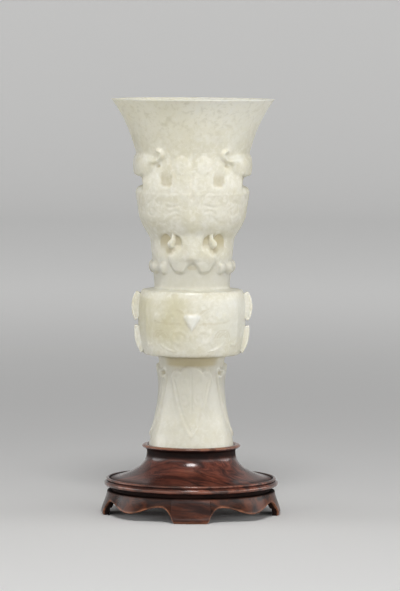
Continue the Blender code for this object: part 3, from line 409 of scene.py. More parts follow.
def horn_mask(u, z, ground):
    """Height of the neck's carving over the plain neck: face, horns and jaw joined by their greatest height,
    nose and collar laid on, hollows cut beside the fangs, eyes raised, and the fine lines taken away last.
    The second grid is painted shade in the fang hollows, the pockets, under the fangs and the hook, in the
    horn's curl and below the nose, and staining on the nose bridge."""
    pocket = ramp(inside(u, z, POCKET), -0.5, 1.1) * (1.0 - 0.7 * ramp(z, 168.5, 174.0))
    uncut = join(face_height(u, z, pocket), horn_height(u, z, ground), jaw_height(u, z)) + nose_height(u, z)
    uncut = np.maximum(uncut, collar_height(u, z))
    deep = fang_hollow(u, z)
    dip = ramp(stroke(u, z, UNDER_FANG), -1.6, 1.0)
    fang = stroke(u, z, FANG)
    height = uncut * (1.0 - deep) - 1.1 * deep - 0.5 * dip
    height = np.maximum(height, np.maximum(uncut, 2.2) * dome(fang / 1.5))
    hook = stroke(u, z, UNDER_HOOK)
    height = height - 0.6 * ramp(hook, -0.6, 0.7)
    height = height + 0.45 * dome(oval(u, z, (5.0, 175.4), 3.7, 4.6))
    height = height - 0.2 * ramp(oval(u, z, (5.0, 175.2), 0.9, 0.9), 0.0, 0.5)
    height = height - 0.2 * ramp(strokes(u, z, MASK_LINES), -0.6, 0.5)
    height = height - 0.3 * ramp(oval(u, z, (0.0, 159.6), 1.6, 2.6), 0.0, 0.8)
    # Painted shade in the fang hollows, under the fangs, in the pockets, under the hook, in the horn's curl
    # and below the nose; staining on the nose bridge
    stain_and_shade = 1.25 * deep * (1.0 - ramp(fang, -0.4, 0.5)) + 0.5 * dip
    stain_and_shade = stain_and_shade + 0.7 * pocket + 0.9 * ramp(hook, -0.4, 0.7)
    stain_and_shade = stain_and_shade + 0.5 * ramp(oval(u, z, (18.8, 180.8), 1.9, 1.7), 0.0, 0.7)
    stain_and_shade = stain_and_shade + 0.7 * ramp(oval(u, z, (1.0, 124.6), 3.2, 1.8), 0.0, 0.6)
    stain_and_shade = stain_and_shade + 0.45 * ramp(oval(u, z, (0.4, 159.8), 1.7, 2.8), 0.0, 0.8)
    return height, stain_and_shade


def drum_scrolls(u, z):
    """Rise of the drum's raised work: ringed eyes, scrolls, a drop under the nose and the panel's ridge."""
    ring = 0.5 - np.abs(np.hypot(u - DRUM_EYE[0], z - DRUM_EYE[1]) - 1.6)
    ridge = 0.45 * ramp(0.5 - np.abs(u - 27.6 + 0.06 * (z - 95.0)), -0.3, 0.4)
    return np.maximum.reduce([
        0.8 * ramp(ring, -0.3, 0.35),
        0.8 * dome(oval(u, z, DRUM_EYE, 0.8, 0.8)),
        0.6 * ramp(oval(u, z, (0.0, 90.6), 1.3, 2.4), 0.0, 0.6),
        ridge * ramp(z, 84.0, 86.0) * ramp(106.5 - z, 0.0, 2.0),
        *(rise * ramp(stroke(u, z, line), -0.3, edge) for rise, edge, line in DRUM_SCROLLS),
    ])


def drum_grooves(u, z):
    """Depth inside the drum's cut work: brow and cheek grooves, nested arches and the panel's frame lines."""
    arch = np.hypot((u - DRUM_ARCH[0]) / 1.2, z - DRUM_ARCH[1])
    arches = np.maximum.reduce([0.45 - np.abs(arch - radius) for radius in (3.9, 2.7, 1.5)])
    return np.maximum.reduce([
        strokes(u, z, DRUM_GROOVES),
        arches - 3.0 * ramp(90.2 - z, 0.0, 1.2),
        0.1 - np.abs(np.maximum(u - 25.4, z - 107.0)),
        0.2 - np.abs(u - 29.6) - 9.0 * ramp(z, 107.5, 109.0),
    ])


def drum_mask(u, z):
    """Height of the drum's low carving: scrolls less grooves, or the kite nose where that is higher, with
    studs and a square swelling under each fin; the second grid is the grooves' stain."""
    depth = inside(u, z, KITE)
    nose = 0.7 * ramp(depth, -0.3, 0.9) + 0.35 * dome(1.0 - np.abs(u) / 2.6) * ramp(depth, 0.0, 1.2)
    studs = dome(oval(u, z, (24.0, 86.2), 0.8, 0.8)) + dome(oval(u, z, (26.4, 86.2), 0.8, 0.8))
    swell = 0.5 * np.clip((u - 32.0) / 9.4, 0.0, 1.0) ** 2
    groove = ramp(drum_grooves(u, z), -0.4, 0.35)
    height = np.maximum(0.45 * drum_scrolls(u, z) - 0.26 * groove, nose) + 0.4 * studs + swell
    return height, 0.6 * groove * ramp(24.0 - u, 0.0, 2.0) * ramp(106.0 - z, 0.0, 1.0)


def foot_leaves(u, z, side):
    """Height of the foot's hanging leaves, with a cloud-edged top, pointed tip, border groove and engraved
    middle; those at the sides stand higher, with pierced corners whose painted shade is the second grid."""
    depth = inside(u, z, LEAF)
    rise = 0.42 + 0.85 * ramp(z, 64.0, 75.0) + side * (0.3 + 0.35 * ramp(46.0 - z, 0.0, 5.0))
    soft = ramp(68.0 - z, 0.0, 6.0) * ramp(z, 41.0, 46.0)
    leaf = rise * ramp(depth, -0.5 - 0.15 * soft, 0.55 + 0.15 * soft)
    border = 0.3 * ramp(0.5 - np.abs(depth - 2.0), -0.3, 0.4) * ramp(71.0 - z, 0.0, 4.0)
    lines = np.maximum.reduce([
        strokes(u, z, LEAF_LINES),
        0.45 - np.abs(np.hypot(u - 3.9, z - 59.2) - 1.7),
        0.55 - np.abs(np.hypot(u - 8.2, z - 71.6) - 1.7),
    ])
    engraved = 0.2 * ramp(lines, -0.35, 0.35) * ramp(depth, 0.2, 1.0)
    hole = side * ramp(oval(u, z, LEAF_HOLE, 1.5, 1.4), 0.0, 0.5)
    ring = 0.7 - np.abs(np.hypot(u - LEAF_HOLE[0], z - LEAF_HOLE[1]) - 2.0)
    rim = 0.5 * side * ramp(ring, -0.2, 0.5)
    # The second grid paints the corner holes dark as shade
    return leaf + rim - border - engraved - 0.9 * hole, 0.8 * hole


def surface(name, points, ends, body, slot, material, replaced, **layers):
    """Mesh of a grid of rows closed round its columns; each end row is closed to its own end point by a fan.
    Faces are turned so that the enclosed volume comes out positive. Layers are values kept at each point, and
    an end point takes the mean of its row."""
    rows, columns, _ = points.shape
    count = rows * columns
    places = np.vstack([points.reshape(-1, 3), ends[0], ends[1]])
    index = np.arange(count).reshape(rows, columns)
    following = np.roll(index, -1, axis=1)
    quads = np.stack([index[:-1], following[:-1], following[1:], index[1:]], axis=-1).reshape(-1, 4)
    first = np.stack([np.full(columns, count), following[0], index[0]], axis=-1)
    last = np.stack([np.full(columns, count + 1), index[-1], following[-1]], axis=-1)
    triangles = np.vstack([first, last, quads[:, :3], quads[:, [0, 2, 3]]])
    a, b, c = (places[triangles[:, k]] for k in range(3))
    if np.sum(a * np.cross(b, c)) < 0.0:
        quads, first, last = quads[:, ::-1], first[:, ::-1], last[:, ::-1]
    loops = np.concatenate([quads.ravel(), first.ravel(), last.ravel()])
    sizes = np.concatenate([np.full(len(quads), 4), np.full(len(first) + len(last), 3)])
    mesh = bpy.data.meshes.new(name)
    mesh.vertices.add(len(places))
    mesh.loops.add(len(loops))
    mesh.polygons.add(len(sizes))
    mesh.vertices.foreach_set("co", (places * MM).ravel())
    mesh.loops.foreach_set("vertex_index", loops)
    mesh.polygons.foreach_set("loop_start", np.cumsum(sizes) - sizes)
    mesh.polygons.foreach_set("use_smooth", np.ones(len(sizes), bool))
    for title, values in layers.items():
        layer = mesh.attributes.new(title, "FLOAT", "POINT")
        means = [np.mean(values[0]), np.mean(values[-1])]
        layer.data.foreach_set("value", np.concatenate([np.ravel(values), means]))
    mesh.update(calc_edges=True)
    mesh.validate()
    piece = bpy.data.objects.new(name, mesh)
    bpy.context.scene.collection.objects.link(piece)
    mesh.materials.append(material)
    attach(piece, body)
    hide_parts(replaced)


def turned(radius, angle, z):
    """Points at a radius, at an angle from the front towards the right, and at a height."""
    grid = np.broadcast_arrays(radius * np.sin(angle), -radius * np.cos(angle), z)
    return np.stack(grid, axis=-1)


def on_axis(section):
    """End points of a turned section, on the axis at its first and last height."""
    return (0.0, 0.0, section[0, 1]), (0.0, 0.0, section[-1, 1])


def spread(values, passes):
    """Evens out a grid by repeated means of each point with its neighbours round and along it."""
    for _ in range(passes):
        values = 0.5 * values + 0.25 * (np.roll(values, 1, axis=1) + np.roll(values, -1, axis=1))
        inner = 0.5 * values[1:-1] + 0.25 * (values[:-2] + values[2:])
        values = np.vstack([values[:1], inner, values[-1:]])
    return values


def stain_and_shade_layer(height, stain_and_shade, plain_radius, face, z):
    """How strongly the stone is darkened: below the evened carving, by the carving's staining and painted
    shade, and by a painted shadow of the drum just below it, strongest at front and back.
    """
    hollow = np.clip(spread(height, 14) - height, 0.0, 2.0) * (1.0 - 0.8 * ramp(z, 176.0, 179.0))
    # Painted shadow of the drum just below it, strongest at front and back
    painted_drum_shadow = (ramp(z, 74.6, 76.2) + 0.35 * ramp(z, 66.0, 75.0)) * ramp(82.0 - z, 0.0, 2.0)
    painted_drum_shadow = painted_drum_shadow * ramp(24.5 - plain_radius, 0.0, 2.0)
    return np.maximum(0.7 * hollow, stain_and_shade) + (0.25 + 0.6 * ramp(1.0 - face, 0.0, 0.35)) * painted_drum_shadow


def straw_layer(x, face, z, outside):
    """Yellow tint of the stone that is also painted light and shade: more to the left on the drum and
    trumpet, darkening that side as painted shade; less than none to the right as painted light, and on kite
    and horns as painted highlights.
    """
    zone = ramp(z, 84.0, 92.0) * ramp(112.0 - z, 0.0, 5.0) + 0.5 * ramp(z, 176.0, 190.0)
    # Painted highlights on the kite nose and on the horns
    painted_highlight = 1.1 * ramp(inside(face * DRUM_ROLL, z, KITE), -0.4, 0.6)
    painted_highlight = painted_highlight + 0.45 * ramp(oval(face * MASK_ROLL, z, (22.5, 178.8), 6.5, 3.0), 0.0, 0.6)
    return zone * (1.5 * ramp(-x, -18.0, 14.0) - 0.5) - painted_highlight * outside[:, None]


def grey_layer(z):
    """Painted shade and light on the stone by height: greyer and darker on the throat and the foot, and
    painted lighter than plain in the trumpet.
    """
    throat = 0.6 * ramp(z, 110.0, 116.0) * ramp(134.0 - z, 0.0, 8.0)
    foot = 0.7 * ramp(80.0 - z, 0.0, 3.0) * (1.0 - 0.4 * ramp(60.0 - z, 0.0, 14.0))
    return throat + foot - 0.7 * ramp(z, 178.0, 200.0)


def build_vase(material):
    """The vase: its half section turned about the axis, moved outwards by the carving."""
    section, outside = vase_section()
    angle = np.linspace(-np.pi, np.pi, VASE_COLUMNS, endpoint=False)
    radius = np.repeat(section[:, :1], VASE_COLUMNS, axis=1)
    z = np.repeat(section[:, 1:], VASE_COLUMNS, axis=1)
    face = np.abs(np.mod(angle + 0.5 * np.pi, np.pi) - 0.5 * np.pi) * np.ones_like(z)
    leaf = np.abs(np.mod(angle + 0.25 * np.pi, 0.5 * np.pi) - 0.25 * np.pi) * np.ones_like(z)
    level = section[:, 1]
    neck, drum, foot = (
        outside & (level > low) & (level < high) for low, high in (NECK_ZONE, DRUM_ZONE, FOOT_ZONE))
    height = np.zeros_like(z)
    stain_and_shade = np.zeros_like(z)
    height[neck], stain_and_shade[neck] = horn_mask(face[neck] * MASK_ROLL, z[neck], radius[neck])
    height[drum], stain_and_shade[drum] = drum_mask(face[drum] * DRUM_ROLL, z[drum])
    height[foot], stain_and_shade[foot] = foot_leaves(leaf[foot] * FOOT_ROLL, z[foot], ramp(face[foot], 0.75, 0.85))
    points = turned(radius + height, angle, z)
    surface(
        "jade_vase_carved", points, on_axis(section), "vase", "jade", material, "jade_vase",
        # hollow: staining and painted shade in the hollows, and painted shadow below the drum
        hollow=stain_and_shade_layer(height, stain_and_shade, radius, face, z),
        straw=straw_layer(points[..., 0], face, z, outside),
        grey=grey_layer(z))


def build_fins(material):
    """Four hooked fins at the drum's sides: each outline in radius and height is carried through the
    thickness, drawn in by a quarter circle at both faces and grooved inside the edge, and its flanks spread
    with the square of the distance from the tip."""
    bend = np.radians(np.linspace(0.0, 90.0, CORNER_STEPS))
    inset = np.concatenate([[2.4, 1.7, 1.4, 1.1], FIN_EDGE * (1.0 - np.sin(bend))])
    depth = np.concatenate([[0.0, 0.0, 0.16, 0.0], FIN_EDGE * (1.0 - np.cos(bend))])
    inset = np.concatenate([inset, inset[::-1]])[:, None, None]
    across = np.concatenate([depth - FIN_HALF, (FIN_HALF - depth)[::-1]])[:, None]
    for title, outline, centre, tip in (
        ("upper", UPPER_FIN, (27.2, 104.2), 30.2), ("lower", LOWER_FIN, (26.2, 88.4), 28.8),
    ):
        away = through(outline + outline[:1], 6)[:-1] - centre
        reach = np.hypot(away[:, 0], away[:, 1])[None, :, None]
        rows = np.array(centre) + away[None] * (1.0 - inset / np.maximum(reach, inset + 0.3))
        flare = FIN_FLARE * np.clip((tip - rows[..., 0]) / FIN_FLARE_REACH, 0.0, 1.0) ** 2
        middle = FIN_HALF + FIN_FLARE * ((tip - centre[0]) / FIN_FLARE_REACH) ** 2
        for side, sign in (("right", 1.0), ("left", -1.0)):
            points = np.stack([sign * rows[..., 0], across + np.sign(across) * flare, rows[..., 1]], axis=-1)
            ends = ((sign * centre[0], -middle, centre[1]), (sign * centre[0], middle, centre[1]))
            surface(f"{title}_fin_{side}", points, ends, "vase", "jade", material, "jade_vase")


def stand_section():
    """Half section of the stand's turned top: socket, rolled lip, a slope swept by a cubic with four control
    points, moulded edge of two round beads, waist and underside."""
    socket = [(4.0, 33.2), (12.0, 33.2), (20.5, 33.2), (21.5, 33.25), (21.75, 33.5), (21.75, 34.4)]
    lip = [
        (21.8, 34.7), (22.1, 35.1), (22.8, 35.2), (23.8, 35.1), (24.45, 34.75), (24.6, 34.3), (24.3, 33.8),
        (23.5, 33.35), (22.7, 32.9), (22.3, 32.4), (22.2, 31.9)]
    s = np.linspace(0.0, 1.0, 40)[:, None]
    a, b, c, d = np.array([(22.2, 31.0), (22.2, 24.6), (29.2, 20.5), (40.6, 18.0)])
    slope = (1 - s) ** 3 * a + 3 * s * (1 - s) ** 2 * b + 3 * s**2 * (1 - s) * c + s**3 * d
    upper = np.radians(np.linspace(150.0, -60.0, 12))
    lower = np.radians(np.linspace(90.0, -90.0, 14))
    parts = [
        socket,
        through(lip, 3),
        slope,
        np.column_stack([41.7 + 0.85 * np.cos(upper), 17.85 + 0.6 * np.sin(upper)]),
        [(42.05, 17.0)],
        np.column_stack([42.35 + 1.2 * np.cos(lower), 15.65 + 1.22 * np.sin(lower)]),
        [(41.2, 14.4), (40.4, 14.38), (40.08, 14.2), (40.0, 13.8), (40.0, 12.5), (39.85, 12.2), (39.5, 12.1)],
        [(36.0, 12.1), (33.7, 12.1), (33.3, 12.3), (30.0, 15.6), (26.9, 18.8), (26.3, 19.1), (15.0, 19.1),
         (5.0, 19.1)],
    ]
    return np.vstack([np.array(part, float) for part in parts])


def build_stand_top(material):
    """Turned top of the stand: its half section carried once round the axis, worn on lip and edge, with
    painted shade in the neck, the waist, the foot of the slope and the grooves of the moulded edge."""
    section = stand_section()
    angle = np.linspace(-np.pi, np.pi, TOP_COLUMNS, endpoint=False)
    r, z = section.T
    lip_wear = ramp(z, 33.9, 34.7) * ramp(r, 21.8, 22.4)
    edge_wear = ramp(r, 42.0, 42.5) * ramp(z, 17.2, 18.0) + ramp(r, 42.9, 43.5) * ramp(z, 14.6, 15.6)
    # Painted shade under the lip, in the waist and underside and in the edge's grooves; a painted dark
    # reflection on the foot of the slope
    dust = ramp(z, 27.4, 31.0) * ramp(33.9 - z, 0.0, 0.7) + ramp(14.9 - z, 0.0, 0.8)
    dust = dust + 0.55 * ramp(r, 35.0, 40.0) * ramp(40.9 - r, 0.0, 0.4)
    dust = dust + ramp(0.5 - np.hypot(r - 42.0, z - 17.0), 0.0, 0.4)
    dust = dust + ramp(0.7 - np.hypot(r - 40.8, z - 18.0), 0.0, 0.5)
    ring = np.ones_like(angle)
    surface(
        "stand_top_turned", turned(section[:, :1], angle, section[:, 1:]), on_axis(section),
        "stand", "top_wood", material, "stand_top",
        worn=np.outer(np.clip(lip_wear + 0.35 * edge_wear, 0.0, 1.0), ring),
        dust=np.outer(np.clip(dust, 0.0, 1.0), ring))


def spreading_side(z):
    """Outer radius of legs and aprons at a height: a cubic spread to the foot and a rounded toe."""
    t = np.clip((11.8 - z) / 9.6, 0.0, 1.0)
    side = WAIST_RADIUS + 2.9 * (0.35 * t + 1.5 * t**2 - 0.85 * t**3)
    toe = np.clip((2.2 - z) / 2.2, 0.0, 1.0)
    return side - (1.0 - np.sqrt(1.0 - 0.98 * toe**2))


def section_loop():
    """Closed rounded rectangle: shares across and up its core, and the corner offsets added to them."""
    arc = np.radians(np.linspace(0.0, 90.0, CORNER_STEPS))
    outer = np.linspace(0.0, 1.0, 16)[1:-1]
    top = np.linspace(1.0, 0.0, 7)[1:-1]
    back = np.linspace(1.0, 0.0, 6)[1:-1]
    rows = []
    corners = ((-90, 1, 0, outer), (0, 1, 1, top), (90, 0, 1, back), (180, 0, 0, 1.0 - top))
    for turn, across, up, side in corners:
        bend = arc + math.radians(turn)
        corner = np.column_stack([np.cos(bend), np.sin(bend)]) * RAIL_CORNER
        rows.append(np.column_stack([np.full(CORNER_STEPS, across), np.full(CORNER_STEPS, up), corner]))
        upright = turn in (-90, 90)
        edge = np.empty((len(side), 4))
        edge[:, 0] = across if upright else side
        edge[:, 1] = side if upright else up
        edge[:, 2] = (RAIL_CORNER if across else -RAIL_CORNER) if upright else 0.0
        edge[:, 3] = 0.0 if upright else (RAIL_CORNER if up else -RAIL_CORNER)
        rows.append(edge)
    return np.vstack(rows)


def build_rail(name, centre, bend, low, thickness, taper, slot, material, replaced):
    """Curved rail: a rounded rectangle from the lower edge to the waist, carried round the axis over the
    given angles; its outer side follows the spreading side, its inner side comes out at the foot, and its
    last rows draw in to round the end edges."""
    loop = section_loop()
    ends = np.minimum(bend - bend[0], bend[-1] - bend) * WAIST_RADIUS
    draw = RAIL_END_ROUND * (1.0 - dome(ends / RAIL_END_ROUND))
    base = (low + draw)[:, None]
    core_height = RAIL_TOP - draw[:, None] - base - 2 * RAIL_CORNER
    core_depth = thickness - draw[:, None] - 2 * RAIL_CORNER
    across = RAIL_CORNER + loop[None, :, 0] * core_depth + loop[None, :, 2]
    z = base + RAIL_CORNER + loop[None, :, 1] * core_height + loop[None, :, 3]
    thinned = taper * ramp(8.5 - z, 0.0, 4.0) * (1.0 - loop[None, :, 0])
    points = turned(spreading_side(z) - thickness + across + thinned, (centre + bend)[:, None], z)
    caps = (points[0].mean(axis=0), points[-1].mean(axis=0))
    worn = ramp(1.4 - (z - base), 0.0, 1.2) * ramp(across, thickness - 2.2, thickness - 0.6)
    # Painted shade under the waist, on the rail's inner faces and at its ends
    dust = 0.8 * ramp(z, 11.2, 12.0) + ramp(thickness - 0.7 - across, 0.0, 1.0)
    dust = dust + 0.3 * ramp(0.1 - ends, 0.0, 0.08)[:, None]
    surface(
        name, points, caps, "stand", slot, material, replaced, worn=worn, dust=np.clip(dust, 0.0, 1.0))


def rows_with_ends(half):
    """Angles from minus half to half, closer together at both ends."""
    fine = np.array([0.0, 0.05, 0.12, 0.22, 0.36, 0.52, 0.7, 0.9, 1.15, 1.4, 1.7, 2.0]) / WAIST_RADIUS
    middle = half - 2.4 / WAIST_RADIUS
    return np.concatenate([-half + fine, np.linspace(-middle, middle, 60), (half - fine)[::-1]])


def leg_edge(bend):
    """Lower edge of a leg at an angle from its middle: a flat foot that curves up to both sides."""
    edge = through([(0.0, 0.0), (7.4, 0.0), (8.1, 0.06), (8.6, 0.7), (9.2, 2.0), (LEG_HALF_WIDTH, 3.7)], 10)
    across = LEG_RADIUS * np.sin(np.abs(bend))
    return np.clip(np.interp(across, edge[:, 0], edge[:, 1]), 0.0, None)


def apron_edge(bend):
    """Lower edge of an apron at an angle from its middle: a cosine from lobe to arch, then a fall."""
    swing = np.abs(np.degrees(bend))
    turn = np.pi * np.sin(np.abs(bend)) / math.sin(math.radians(ARCH_SWING))
    lobe = APRON_LOBE + 0.5 * APRON_ARCH * (1.0 - np.cos(turn))
    fall = through([(23.4, 7.55), (ARCH_SWING, 7.6), (26.8, 7.3), (29.0, 6.3), (30.8, 4.8), (31.9, 3.6)], 10)
    return np.where(swing < ARCH_SWING, lobe, np.interp(swing, fall[:, 0], fall[:, 1]))


def build_legs_and_aprons(leg_wood, apron_wood):
    """Four bracket legs, and four aprons with a middle lobe and an arch to each side."""
    leg_bend = rows_with_ends(math.asin(LEG_HALF_WIDTH / LEG_RADIUS))
    apron_bend = rows_with_ends(0.25 * np.pi - math.asin(APRON_START / LEG_RADIUS))
    for index, (leg, apron) in enumerate((
        ("leg_front", "apron_front_right"), ("leg_right", "apron_back_right"),
        ("leg_back", "apron_back_left"), ("leg_left", "apron_front_left"),
    )):
        turn = index * 0.5 * np.pi
        build_rail(
            leg + "_shaped", turn, leg_bend, leg_edge(leg_bend), LEG_THICKNESS, LEG_FOOT_TAPER,
            "leg_wood", leg_wood, leg)
        build_rail(
            apron + "_shaped", turn + 0.25 * np.pi, apron_bend, apron_edge(apron_bend), APRON_THICKNESS, 0.0,
            "apron_wood", apron_wood, apron)


def add_node(tree, kind, inputs=None, **settings):
    """A node with its settings and input values."""
    node = tree.nodes.new(kind)
    for key, value in settings.items():
        setattr(node, key, value)
    for key, value in (inputs or {}).items():
        node.inputs[key].default_value = value
    return node


def noise(tree, vector, scale, detail, roughness=0.5, distortion=0.0):
    """Noise on a vector; scale is in repeats per metre."""
    node = add_node(tree, "ShaderNodeTexNoise", {
        "Scale": scale, "Detail": detail, "Roughness": roughness, "Distortion": distortion})
    tree.links.new(vector, node.inputs["Vector"])
    return node.outputs["Fac"]


def window(tree, value, low, high, start=0.0, end=1.0):
    """Smoothly maps a value from low..high to start..end."""
    node = add_node(tree, "ShaderNodeMapRange", {
        "From Min": low, "From Max": high, "To Min": start, "To Max": end}, interpolation_type="SMOOTHSTEP")
    tree.links.new(value, node.inputs["Value"])
    return node.outputs["Result"]


def blend(tree, share, first, second):
    """Mixes two colours, each a value or a socket."""
    node = add_node(tree, "ShaderNodeMix", data_type="RGBA")
    tree.links.new(share, node.inputs["Factor"])
    for socket, colour in ((node.inputs["A"], first), (node.inputs["B"], second)):
        if isinstance(colour, tuple):
            socket.default_value = (*colour, 1.0)
        else:
            tree.links.new(colour, socket)
    return node.outputs["Result"]


def maths(tree, operation, first, second):
    """One sum on two values, each a number or a socket."""
    node = add_node(tree, "ShaderNodeMath", operation=operation)
    for socket, value in zip(node.inputs, (first, second)):
        if isinstance(value, (int, float)):
            socket.default_value = value
        else:
            tree.links.new(value, socket)
    return node.outputs["Value"]


def layer_value(tree, layer):
    """Value of a layer that the mesh keeps at each point."""
    return add_node(tree, "ShaderNodeAttribute", attribute_name=layer).outputs["Fac"]


def new_material(name):
    """A material with one Principled shader, its node tree and Object coordinates."""
    material = bpy.data.materials.new(name)
    material.use_nodes = True
    tree = material.node_tree
    place = add_node(tree, "ShaderNodeTexCoord").outputs["Object"]
    return material, tree, tree.nodes["Principled BSDF"], place


def jade_material():
    """Pale jade: cloudy white and yellow patches, faint wisps, waxy polish, light going in; laid on it are
    painted light on trumpet, right side, kite and horns, painted shade on the left side, throat and foot, and
    warm staining with painted shade in the hollows and below the drum.
    """
    material, tree, shader, place = new_material("pale_jade")
    cloud = noise(tree, place, 48.0, 4.0, 0.6, 0.6)
    wisp = noise(tree, place, 120.0, 4.0, 0.62, 1.0)
    curd = noise(tree, place, 420.0, 3.0, 0.6, 0.5)
    grey = layer_value(tree, "grey")
    straw = layer_value(tree, "straw")
    hollow = layer_value(tree, "hollow")
    straw_share = maths(tree, "MULTIPLY", straw, window(tree, cloud, 0.70, 0.30, 0.32, 0.62))
    colour = blend(tree, window(tree, cloud, 0.38, 0.62), STONE_STRAW_CLOUD, STONE_PALE_CLOUD)
    for share, tint in (
        (window(tree, grey, 0.0, -1.0), STONE_PAINTED_LIGHT),
        (window(tree, wisp, 0.52, 0.74, 0.0, 0.5), STONE_WISP),
        (window(tree, wisp, 0.47, 0.28, 0.0, 0.42), STONE_PALE_WISP),
        (window(tree, curd, 0.50, 0.66, 0.0, 0.45), STONE_CURD),
        (window(tree, curd, 0.48, 0.32, 0.0, 0.4), STONE_CURD_SHADE),
        (straw_share, STONE_STRAW_AND_SHADE),
        (window(tree, straw, 0.0, -1.0, 0.0, 0.7), STONE_COOL_PAINTED_LIGHT),
        (window(tree, grey, 0.0, 1.0), STONE_PAINTED_SHADE),
        (window(tree, hollow, 0.10, 1.3, 0.0, 0.75), STONE_STAIN_AND_SHADE),
    ):
        colour = blend(tree, share, colour, tint)
    tree.links.new(colour, shader.inputs["Base Color"])
    polish = window(tree, wisp, 0.3, 0.7, 0.33, 0.45)
    rough = maths(tree, "ADD", polish, window(tree, hollow, 0.1, 1.0, 0.0, 0.14))
    tree.links.new(rough, shader.inputs["Roughness"])
    bump = add_node(tree, "ShaderNodeBump", {"Strength": 0.12, "Distance": 0.0004})
    tree.links.new(noise(tree, place, 900.0, 2.0), bump.inputs["Height"])
    tree.links.new(bump.outputs["Normal"], shader.inputs["Normal"])
    shader.inputs["Subsurface Weight"].default_value = 0.55
    shader.inputs["Subsurface Radius"].default_value = (1.0, 0.94, 0.8)
    shader.inputs["Subsurface Scale"].default_value = 0.0035
    shader.inputs["IOR"].default_value = 1.6
    return material


def grain_group():
    """Node group for the stand's wood: dark and reddish figure stretched along the grain, fine pores, wear,
    and painted shade that darkens the colour, roughens it and takes away the coat."""
    group = bpy.data.node_groups.new("wood_grain", "ShaderNodeTree")
    inputs = {"Vector": "Vector", "Dark": "Color", "Red": "Color", "Worn": "Float", "Painted_Shade": "Float"}
    outputs = {"Color": "Color", "Roughness": "Float", "Coat": "Float", "Height": "Float"}
    for direction, sockets in (("INPUT", inputs), ("OUTPUT", outputs)):
        for name, kind in sockets.items():
            group.interface.new_socket(name, in_out=direction, socket_type="NodeSocket" + kind)
    source = group.nodes.new("NodeGroupInput").outputs
    sink = group.nodes.new("NodeGroupOutput").inputs
    along = add_node(group, "ShaderNodeMapping", {"Scale": (0.16, 1.0, 1.0)})
    group.links.new(source["Vector"], along.inputs["Vector"])
    figure = noise(group, along.outputs["Vector"], 250.0, 4.0, 0.6, 0.9)
    pores = noise(group, along.outputs["Vector"], 1500.0, 2.0, 0.6)
    tone = noise(group, source["Vector"], 28.0, 3.0, 0.5)
    shade = blend(group, window(group, figure, 0.34, 0.74), source["Dark"], source["Red"])
    shade = blend(group, window(group, tone, 0.62, 0.36, 0.0, 0.55), shade, source["Dark"])
    shade = blend(group, window(group, pores, 0.60, 0.76, 0.0, 0.7), shade, WOOD_PORE)
    patch = maths(group, "MULTIPLY", source["Worn"], window(group, figure, 0.35, 0.62, 0.25, 1.0))
    shade = blend(group, patch, shade, WOOD_WORN)
    # Painted shade darkens the colour here; below it also roughens the wood and takes away the coat
    shade = blend(group, maths(group, "MULTIPLY", source["Painted_Shade"], 0.92), shade, WOOD_PAINTED_SHADE)
    group.links.new(shade, sink["Color"])
    polish = window(group, tone, 0.3, 0.7, 0.24, 0.34)
    rough = maths(group, "ADD", polish, window(group, pores, 0.58, 0.75, 0.0, 0.2))
    rough = maths(group, "ADD", rough, maths(group, "MULTIPLY", source["Painted_Shade"], 0.4))
    group.links.new(rough, sink["Roughness"])
    group.links.new(window(group, source["Painted_Shade"], 0.0, 0.8, 1.0, 0.0), sink["Coat"])
    group.links.new(window(group, pores, 0.58, 0.75, 1.0, 0.0), sink["Height"])
    return group


def wood_material(name, group, turn, dark, red, polish):
    """Dark hardwood with its own grain direction, tones and share of polish."""
    material, tree, shader, place = new_material(name)
    grain = add_node(tree, "ShaderNodeMapping", {"Rotation": (0.0, 0.0, turn)})
    tree.links.new(place, grain.inputs["Vector"])
    figure = add_node(tree, "ShaderNodeGroup", node_tree=group)
    figure.inputs["Dark"].default_value = (*dark, 1.0)
    figure.inputs["Red"].default_value = (*red, 1.0)
    tree.links.new(grain.outputs["Vector"], figure.inputs["Vector"])
    tree.links.new(layer_value(tree, "worn"), figure.inputs["Worn"])
    tree.links.new(layer_value(tree, "dust"), figure.inputs["Painted_Shade"])
    tree.links.new(figure.outputs["Color"], shader.inputs["Base Color"])
    tree.links.new(figure.outputs["Roughness"], shader.inputs["Roughness"])
    tree.links.new(maths(tree, "MULTIPLY", figure.outputs["Coat"], polish), shader.inputs["Coat Weight"])
    bump = add_node(tree, "ShaderNodeBump", {"Strength": 0.2, "Distance": 0.0002})
    tree.links.new(figure.outputs["Height"], bump.inputs["Height"])
    tree.links.new(bump.outputs["Normal"], shader.inputs["Normal"])
    shader.inputs["Specular IOR Level"].default_value = 0.1
    shader.inputs["Coat Roughness"].default_value = 0.18
    shader.inputs["Coat IOR"].default_value = 1.6
    return material


def paper_material():
    """Pale paper on the floor and a dark wall. It is palest to the camera and in mirrorings, and to them it
    also shines a little away from the object, so that less light comes back up from it to the stand."""
    material, tree, shader, place = new_material("studio_paper")
    path = add_node(tree, "ShaderNodeLightPath").outputs
    seen = maths(tree, "MAXIMUM", path["Is Camera Ray"], path["Is Glossy Ray"])
    seen = maths(tree, "MAXIMUM", seen, path["Is Transmission Ray"])
    paper = blend(tree, noise(tree, place, 2.0, 2.0), PAPER_DARK, PAPER_LIGHT)
    paper = blend(tree, seen, PAPER_BOUNCE, paper)
    split = add_node(tree, "ShaderNodeSeparateXYZ")
    tree.links.new(place, split.inputs["Vector"])
    low = window(tree, split.outputs["Z"], 0.75, 0.4)
    tree.links.new(blend(tree, low, WALL, paper), shader.inputs["Base Color"])
    reach = add_node(tree, "ShaderNodeVectorMath", operation="LENGTH")
    tree.links.new(place, reach.inputs[0])
    lift = maths(tree, "MULTIPLY", seen, window(tree, reach.outputs["Value"], 0.3, 1.8))
    tree.links.new(blend(tree, lift, (0.0, 0.0, 0.0), PAPER_LIFT), shader.inputs["Emission Color"])
    shader.inputs["Emission Strength"].default_value = 1.0
    shader.inputs["Roughness"].default_value = 0.9
    return material


